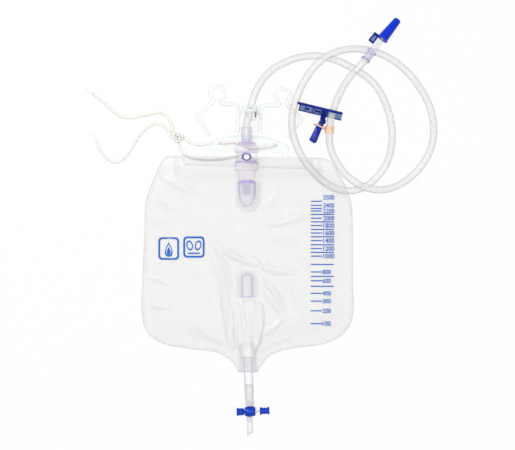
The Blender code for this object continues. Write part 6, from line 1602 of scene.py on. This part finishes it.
@dataclass(frozen=True)
class TieString:
    """The string that the bag can be tied up by: through both holes of the hanger and knotted at its left.

    Attributes:
        radius: the string's radius.
        table_z: height of its middle line where it lies on the table.
        knot: middle of the knot.
        knot_size: length and width of the knot.
        knot_rope: the string's radius where the knot pulls it tight.
        knot_z: height of the knot's middle, and how far its string runs above and below it.
        step: distance between the points of a free length.
        hole_u: from the hanger's middle to each hole.
        hole_v: from the hanger's pivot up to the holes.
        hanger_top: top of the hanger's plate.
        left_strand: route from the left hole to the knot.
        right_strand: route from the right hole to the knot.
        tail_a: route of the left strand from the knot to its tip.
        tail_b: route of the right strand from the knot to its tip.
    """

    radius: float = 0.0017
    table_z: float = 0.0018
    knot: tuple[float, float] = (-0.0778, 0.1380)
    knot_size: tuple[float, float] = (0.0145, 0.0115)
    knot_rope: float = 0.00135
    knot_z: tuple[float, float] = (0.0040, 0.0023)
    step: float = 0.0015
    hole_u: float = 0.0303
    hole_v: float = 0.0188
    hanger_top: float = 0.0064
    left_strand: Pairs = (
        (-36.2, 131.2), (-47, 130.2), (-56, 129.7), (-64.5, 132.3), (-70.7, 136.7))
    right_strand: Pairs = (
        (26, 128.9), (12, 126.6), (-0.5, 122), (-13, 116.9), (-28.5, 113.4), (-47.5, 112.5), (-63, 115),
        (-71, 119.6), (-75, 125), (-77.5, 132.4))
    tail_a: Pairs = (
        (-82.9, 142.8), (-84.2, 150), (-87, 156.5), (-91.5, 163), (-98.5, 166), (-108, 164.2), (-120.5, 161.5),
        (-132.5, 159.8), (-140.5, 161.2), (-148.5, 165.8), (-158, 174.5), (-166, 181.2), (-173.4, 187))
    tail_b: Pairs = (
        (-85.0, 137.5), (-88.2, 144.5), (-94, 150.6), (-101.5, 153.2), (-109, 151), (-116, 145.8),
        (-122.5, 137.8), (-129.5, 126.5), (-135.3, 117.6), (-142.5, 111.3), (-150.5, 110.7), (-159, 116),
        (-165.8, 124.8), (-170.2, 134.2))

    def build(self) -> None:
        knot = self._knot()
        self._string("string_front", self._front_path(), self.radius, "string_front_run")
        self._cord("string_left", (*self.left_strand, self._knot_mm(), *self.tail_a),
                   ("string_strand_left", "string_tail_a"))
        self._cord("string_right", (*self.right_strand, self._knot_mm(), *self.tail_b),
                   ("string_strand_right", "string_tail_b"))

    def _knot_mm(self) -> tuple[float, float]:
        """Middle of the knot, in millimetres."""
        return self.knot[0] / MM, self.knot[1] / MM

    def _string(self, name: str, path: list[Vector], radius: float, *nodes: str,
                closed: bool = False) -> bpy.types.Object:
        """A length of laid string along a line, which stands for CAD nodes."""
        curve = bpy.data.curves.new(name, "CURVE")
        curve.dimensions = "3D"
        add_line(curve, path, closed)
        values = {"Radius": radius, "Material": STRING_WHITE.material()}
        mesh = grown(on_scene(name, curve), laid_string_tree(), values)
        return riding(name, mesh, STRING_WHITE, nodes=nodes)

    def _cord(self, name: str, route_mm: Pairs, nodes: tuple[str, ...]) -> None:
        """One free length: from its hole through the knot to its tip.

        Args:
            name: the piece's name.
            route_mm: its route over the table.
            nodes: the CAD nodes that it stands for.
        """
        path = smooth_path([Vector((x * MM, y * MM, self.table_z)) for x, y in route_mm], self.step)
        obj = self._string(name, path, self.radius, *nodes)
        LOG.info("%s: %.3f m", name, path_length(path))

    def _front_path(self) -> list[Vector]:
        """Middle line of the run across the front of the hanger, down through a hole at each end."""
        left, right = (HANGER_PLACE @ Vector((side * self.hole_u, self.hole_v, 0)) for side in (-1, 1))
        top = self.hanger_top + GAP + self.radius
        low = self.table_z
        middle = (low + top) / 2 + 0.0003
        route = [(left.x - 0.0066, left.y, low), (left.x - 0.0030, left.y, low + 0.0001),
                 (left.x - 0.0011, left.y, low + 0.0012), (left.x - 0.0001, left.y, middle),
                 (left.x + 0.0009, left.y + 0.0001, top - 0.0011), (left.x + 0.0030, left.y + 0.0003, top + 0.0003),
                 (-0.0200, 0.1325, top), (-0.0115, 0.1318, top), (-0.0060, 0.1290, top), (0.0, 0.1272, top),
                 (0.0060, 0.1264, top), (0.0135, 0.1264, top), (right.x - 0.0095, right.y - 0.0018, top),
                 (right.x - 0.0028, right.y - 0.0003, top + 0.0002), (right.x - 0.0005, right.y, top - 0.0010),
                 (right.x + 0.0002, right.y, middle), (right.x - 0.0004, right.y, low + 0.0012),
                 (right.x - 0.0022, right.y, low + 0.0001), (right.x - 0.0048, right.y - 0.0001, low)]
        return smooth_path([Vector(p) for p in route], 0.0012)

    def _knot(self) -> bpy.types.Object:
        """The overhand knot that holds both ends together."""
        reach = 3 + self.knot_rope / 0.0019
        path = []
        for t in angles(90):
            ring = 2 + math.cos(3 * t)
            path.append(Vector((self.knot[0] + ring * math.cos(2 * t) * self.knot_size[0] / 2 / reach,
                                self.knot[1] + ring * math.sin(2 * t) * self.knot_size[1] / 2 / reach,
                                self.knot_z[0] + self.knot_z[1] * math.sin(3 * t))))
        return self._string("string_knot_laid", path, self.knot_rope, "string_knot", closed=True)


@dataclass(frozen=True)
class ScaleMark:
    """One graduation of the volume scale.

    Attributes:
        y: its height in the photograph, in pixels.
        text: its number, or nothing.
        long: whether it is a long one.
        text_y: height of the number's middle, where it isn't the tick's own.
    """

    y: float
    text: str = ""
    long: bool = False
    text_y: float | None = None


@dataclass(frozen=True)
class PrintedScale:
    """The printed volume scale and the two plain panels, lying on the front film.

    Attributes:
        films: the film that they are printed on.
        pixel: size of a pixel of the photograph on the table.
        zero: the pixel over the origin.
        tick_x: where the ticks start, in pixels.
        ends: where short and long ticks end.
        stroke: width of a tick.
        four_digits: left and right edge of the four-digit numbers.
        three_digits: left and right edge of the three-digit numbers.
        digit_height: height of the numbers.
        rise: how far the ink stands off the film.
        ink: its thickness.
        marks: the graduations.
        panels: left, right, upper and lower edge of each panel, in pixels.
        frames: how far in each edge of a panel's frame lies, and the radius of its corners.
    """

    films: BagFilms
    pixel: float = 0.00112
    zero: tuple[float, float] = (247.45, 260.5)
    tick_x: float = 310.7
    ends: tuple[float, float] = (321.9, 333.7)
    stroke: float = 0.00125
    four_digits: tuple[float, float] = (323.2, 334.3)
    three_digits: tuple[float, float] = (322.4, 330.8)
    digit_height: float = 0.0052
    rise: float = 0.00022
    ink: float = 0.00008
    marks: tuple[ScaleMark, ...] = (
        ScaleMark(201.3, "2500", False, 197.4), ScaleMark(205.4, "2400"), ScaleMark(208.5),
        ScaleMark(211.0, "2200"), ScaleMark(214.4, "", True), ScaleMark(218.2, "2000"), ScaleMark(221.9, "", True),
        ScaleMark(225.6, "1800"), ScaleMark(229.4, "", True), ScaleMark(233.0, "1600"), ScaleMark(236.8, "", True),
        ScaleMark(240.6, "1400"), ScaleMark(244.7, "", True), ScaleMark(248.5, "1200"), ScaleMark(252.3, "", True),
        ScaleMark(256.1, "1000"), ScaleMark(264.4, "", True), ScaleMark(271.9, "800"), ScaleMark(276.3, "", True),
        ScaleMark(280.7, "600"), ScaleMark(286.2, "", True), ScaleMark(293.2, "400"), ScaleMark(301.0, "300"),
        ScaleMark(310.7, "200"), ScaleMark(323.5, "100"))
    panels: tuple[tuple[float, float, float, float], ...] = (
        (158.4, 179.2, 237.2, 259.8), (183.4, 204.6, 236.4, 257.6))
    frames: Pairs = ((0.0, 0.0042), (0.0021, 0.0026))

    def build(self) -> None:
        """Makes the ticks, the numbers and the panels."""
        self._ticks()
        self._numbers()
        self._panels()

    def _at(self, x: float, y: float) -> tuple[float, float]:
        """The place on the table under a pixel."""
        return (x - self.zero[0]) * self.pixel, (self.zero[1] - y) * self.pixel

    def _laid_on_film(self, name: str, mesh: bpy.types.Mesh) -> None:
        """Drops flat print onto the film, so that it follows every crease."""
        places = np.empty(len(mesh.vertices) * 3)
        mesh.vertices.foreach_get("co", places)
        places = places.reshape(-1, 3)
        x, y = places[:, 0], places[:, 1]
        height, _ = self.films.front_z(x, y, depth_inside(x, y, self.films.edge()))
        places[:, 2] += height + self.rise
        mesh.vertices.foreach_set("co", places.ravel())
        riding(name, mesh, PRINT_BLUE)

    def _ticks(self) -> None:
        """The graduations, one strip for each mark, made by Geometry Nodes."""
        shape = ("Geometry", None)
        tree = node_group("scale_ticks", "GeometryNodeTree", {
            "Geometry": shape, "Stroke": ("Float", 0.0008), "Ink": ("Float", 0.0001), "Material": ("Material", None)},
            {"Geometry": shape})
        given = tree.nodes["in"].outputs
        strip = add(tree, "GeometryNodeMeshCube", {"Size": (1, 1, 1), "Vertices X": 14, "Vertices Y": 2})
        shift = add(tree, "GeometryNodeTransform", {"Geometry": strip.outputs["Mesh"], "Translation": (0.5, 0, 0)})
        reach = add(tree, "GeometryNodeInputNamedAttribute", {"Name": "reach"}, data_type="FLOAT")
        size = add(tree, "ShaderNodeCombineXYZ", {
            "X": reach.outputs["Attribute"], "Y": given["Stroke"], "Z": given["Ink"]})
        each = add(tree, "GeometryNodeInstanceOnPoints", {
            "Points": given["Geometry"], "Instance": shift.outputs["Geometry"], "Scale": size.outputs["Vector"]})
        finish_tree(tree, each.outputs["Instances"])
        points = bpy.data.meshes.new("scale_tick_places")
        points.from_pydata([(*self._at(self.tick_x, mark.y), 0) for mark in self.marks], [], [])
        lengths = [(self.ends[mark.long] - self.tick_x) * self.pixel for mark in self.marks]
        points.attributes.new("reach", "FLOAT", "POINT").data.foreach_set("value", lengths)
        values = {"Stroke": self.stroke, "Ink": self.ink, "Material": PRINT_BLUE.material()}
        self._laid_on_film("scale_ticks", grown(on_scene("scale_ticks", points), tree, values))

    def _numbers(self) -> None:
        """The numbers of the scale, in one mesh."""
        whole = bmesh.new()
        for mark in self.marks:
            if not mark.text:
                continue
            left, right = self.four_digits if len(mark.text) == 4 else self.three_digits
            curve = bpy.data.curves.new("number", "FONT")
            curve.body, curve.size, curve.extrude, curve.offset = mark.text, 1.0, 0.5, 0.020
            mesh = applied(on_scene("number", curve))
            xs, ys, _ = zip(*(vertex.co for vertex in mesh.vertices))
            wide = (right - left) * self.pixel / (max(xs) - min(xs))
            tall = self.digit_height / (max(ys) - min(ys))
            x, y = self._at(left, mark.text_y if mark.text_y is not None else mark.y)
            mesh.transform(Matrix.Translation((x, y, 0)) @ Matrix.Diagonal((wide, tall, self.ink, 1))
                           @ Matrix.Translation((-min(xs), -(min(ys) + max(ys)) / 2, 0)))
            whole.from_mesh(mesh)
            bpy.data.meshes.remove(mesh)
        mesh = bpy.data.meshes.new("scale_numbers")
        whole.to_mesh(mesh)
        whole.free()
        self._laid_on_film("scale_numbers", mesh)

    def _panels(self) -> None:
        """Two rounded frames: a plain drop in one, and a plain pair of leaves in the other."""
        outlines = []
        for index, (left, right, top, low) in enumerate(self.panels):
            (x0, y1), (x1, y0) = self._at(left, top), self._at(right, low)
            x, y = (x0 + x1) / 2, (y0 + y1) / 2
            outlines += [rounded(x0 + inset, y0 + inset, x1 - inset, y1 - inset, corner)
                         for inset, corner in self.frames]
            if index == 0:
                outlines += [drop(x, y - 0.0008, 0.0062 * size, 0.0168 * size) for size in (1.0, 0.70)]
                outlines.append(drop(x, y - 0.0022, 0.0030, 0.0084))
            else:
                outlines += [leaf(x + side * 0.0047, y + 0.0018, side, size)
                             for side in (-1, 1) for size in (1.0, 0.66)]
                outlines.append(rounded(x - 0.0068, y - 0.0078, x + 0.0068, y - 0.0062, 0.0007))
        self._laid_on_film("plain_panels", flat_curve("panels", outlines, self.ink))


def rounded(x0: float, y0: float, x1: float, y1: float, corner: float) -> Outline:
    """Outline of a rounded rectangle, with enough points along its sides to bend over a crease."""
    points = []
    corners = ((x1 - corner, y1 - corner, 0), (x0 + corner, y1 - corner, 90), (x0 + corner, y0 + corner, 180),
               (x1 - corner, y0 + corner, 270))
    for x, y, start in corners:
        for i in range(7):
            a = math.radians(start + 15 * i)
            points.append((x + corner * math.cos(a), y + corner * math.sin(a)))
    return points


def drop(x: float, y: float, half: float, height: float) -> Outline:
    """Outline of a plain drop round its middle."""
    return [(x + half * math.sin(t) * math.sin(t / 2) ** 1.5, y + height / 2 * math.cos(t)) for t in angles(32)]


def leaf(x: float, y: float, side: int, size: float) -> Outline:
    """Outline of a plain rounded leaf that leans to one side."""
    points, lean = [], math.radians(-14) * side
    for t in angles(28):
        u, v = 0.0036 * size * math.cos(t), 0.0058 * size * math.sin(t)
        points.append((x + u * math.cos(lean) - v * math.sin(lean), y + u * math.sin(lean) + v * math.cos(lean)))
    return points

def dress_nodes() -> None:
    """Gives every CAD node that is shown as it is its finish."""
    finishes = {
        "vent_filter": FILTER_WHITE, "non_return_flap": FLAP_VIOLET, "valve_plunger": STEM_WHITE,
        "valve_seal_left": SEAL_BLACK, "valve_seal_right": SEAL_BLACK, "sheet_clip_pin": STEEL,
        "sheet_clip_spring": STEEL, "string_tip_a": TIP_WHITE, "string_tip_b": TIP_WHITE}
    for name, finish in finishes.items():
        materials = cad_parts[name].data.materials
        materials.clear()
        materials.append(finish.material())


def main() -> None:
    """Builds the studio, dresses the CAD nodes and adds the finer pieces."""
    logging.basicConfig(level=logging.INFO, format="%(message)s")
    Studio().build()
    dress_nodes()
    films = BagFilms()
    films.build()
    PrintedScale(films).build()
    Hanger().build()
    TieString().build()
    Inlet().build()
    SpoutPocket().build()
    Outlet().build()
    clip, tube = SheetClip(), InletTube()
    band = RubberBand(clip, tuple(tube.path()))
    tube.build([*Connector().build(), *clip.build(), band.build(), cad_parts["sheet_clip_pin"],
                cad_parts["sheet_clip_spring"]])


if __name__ == "__main__":
    main()
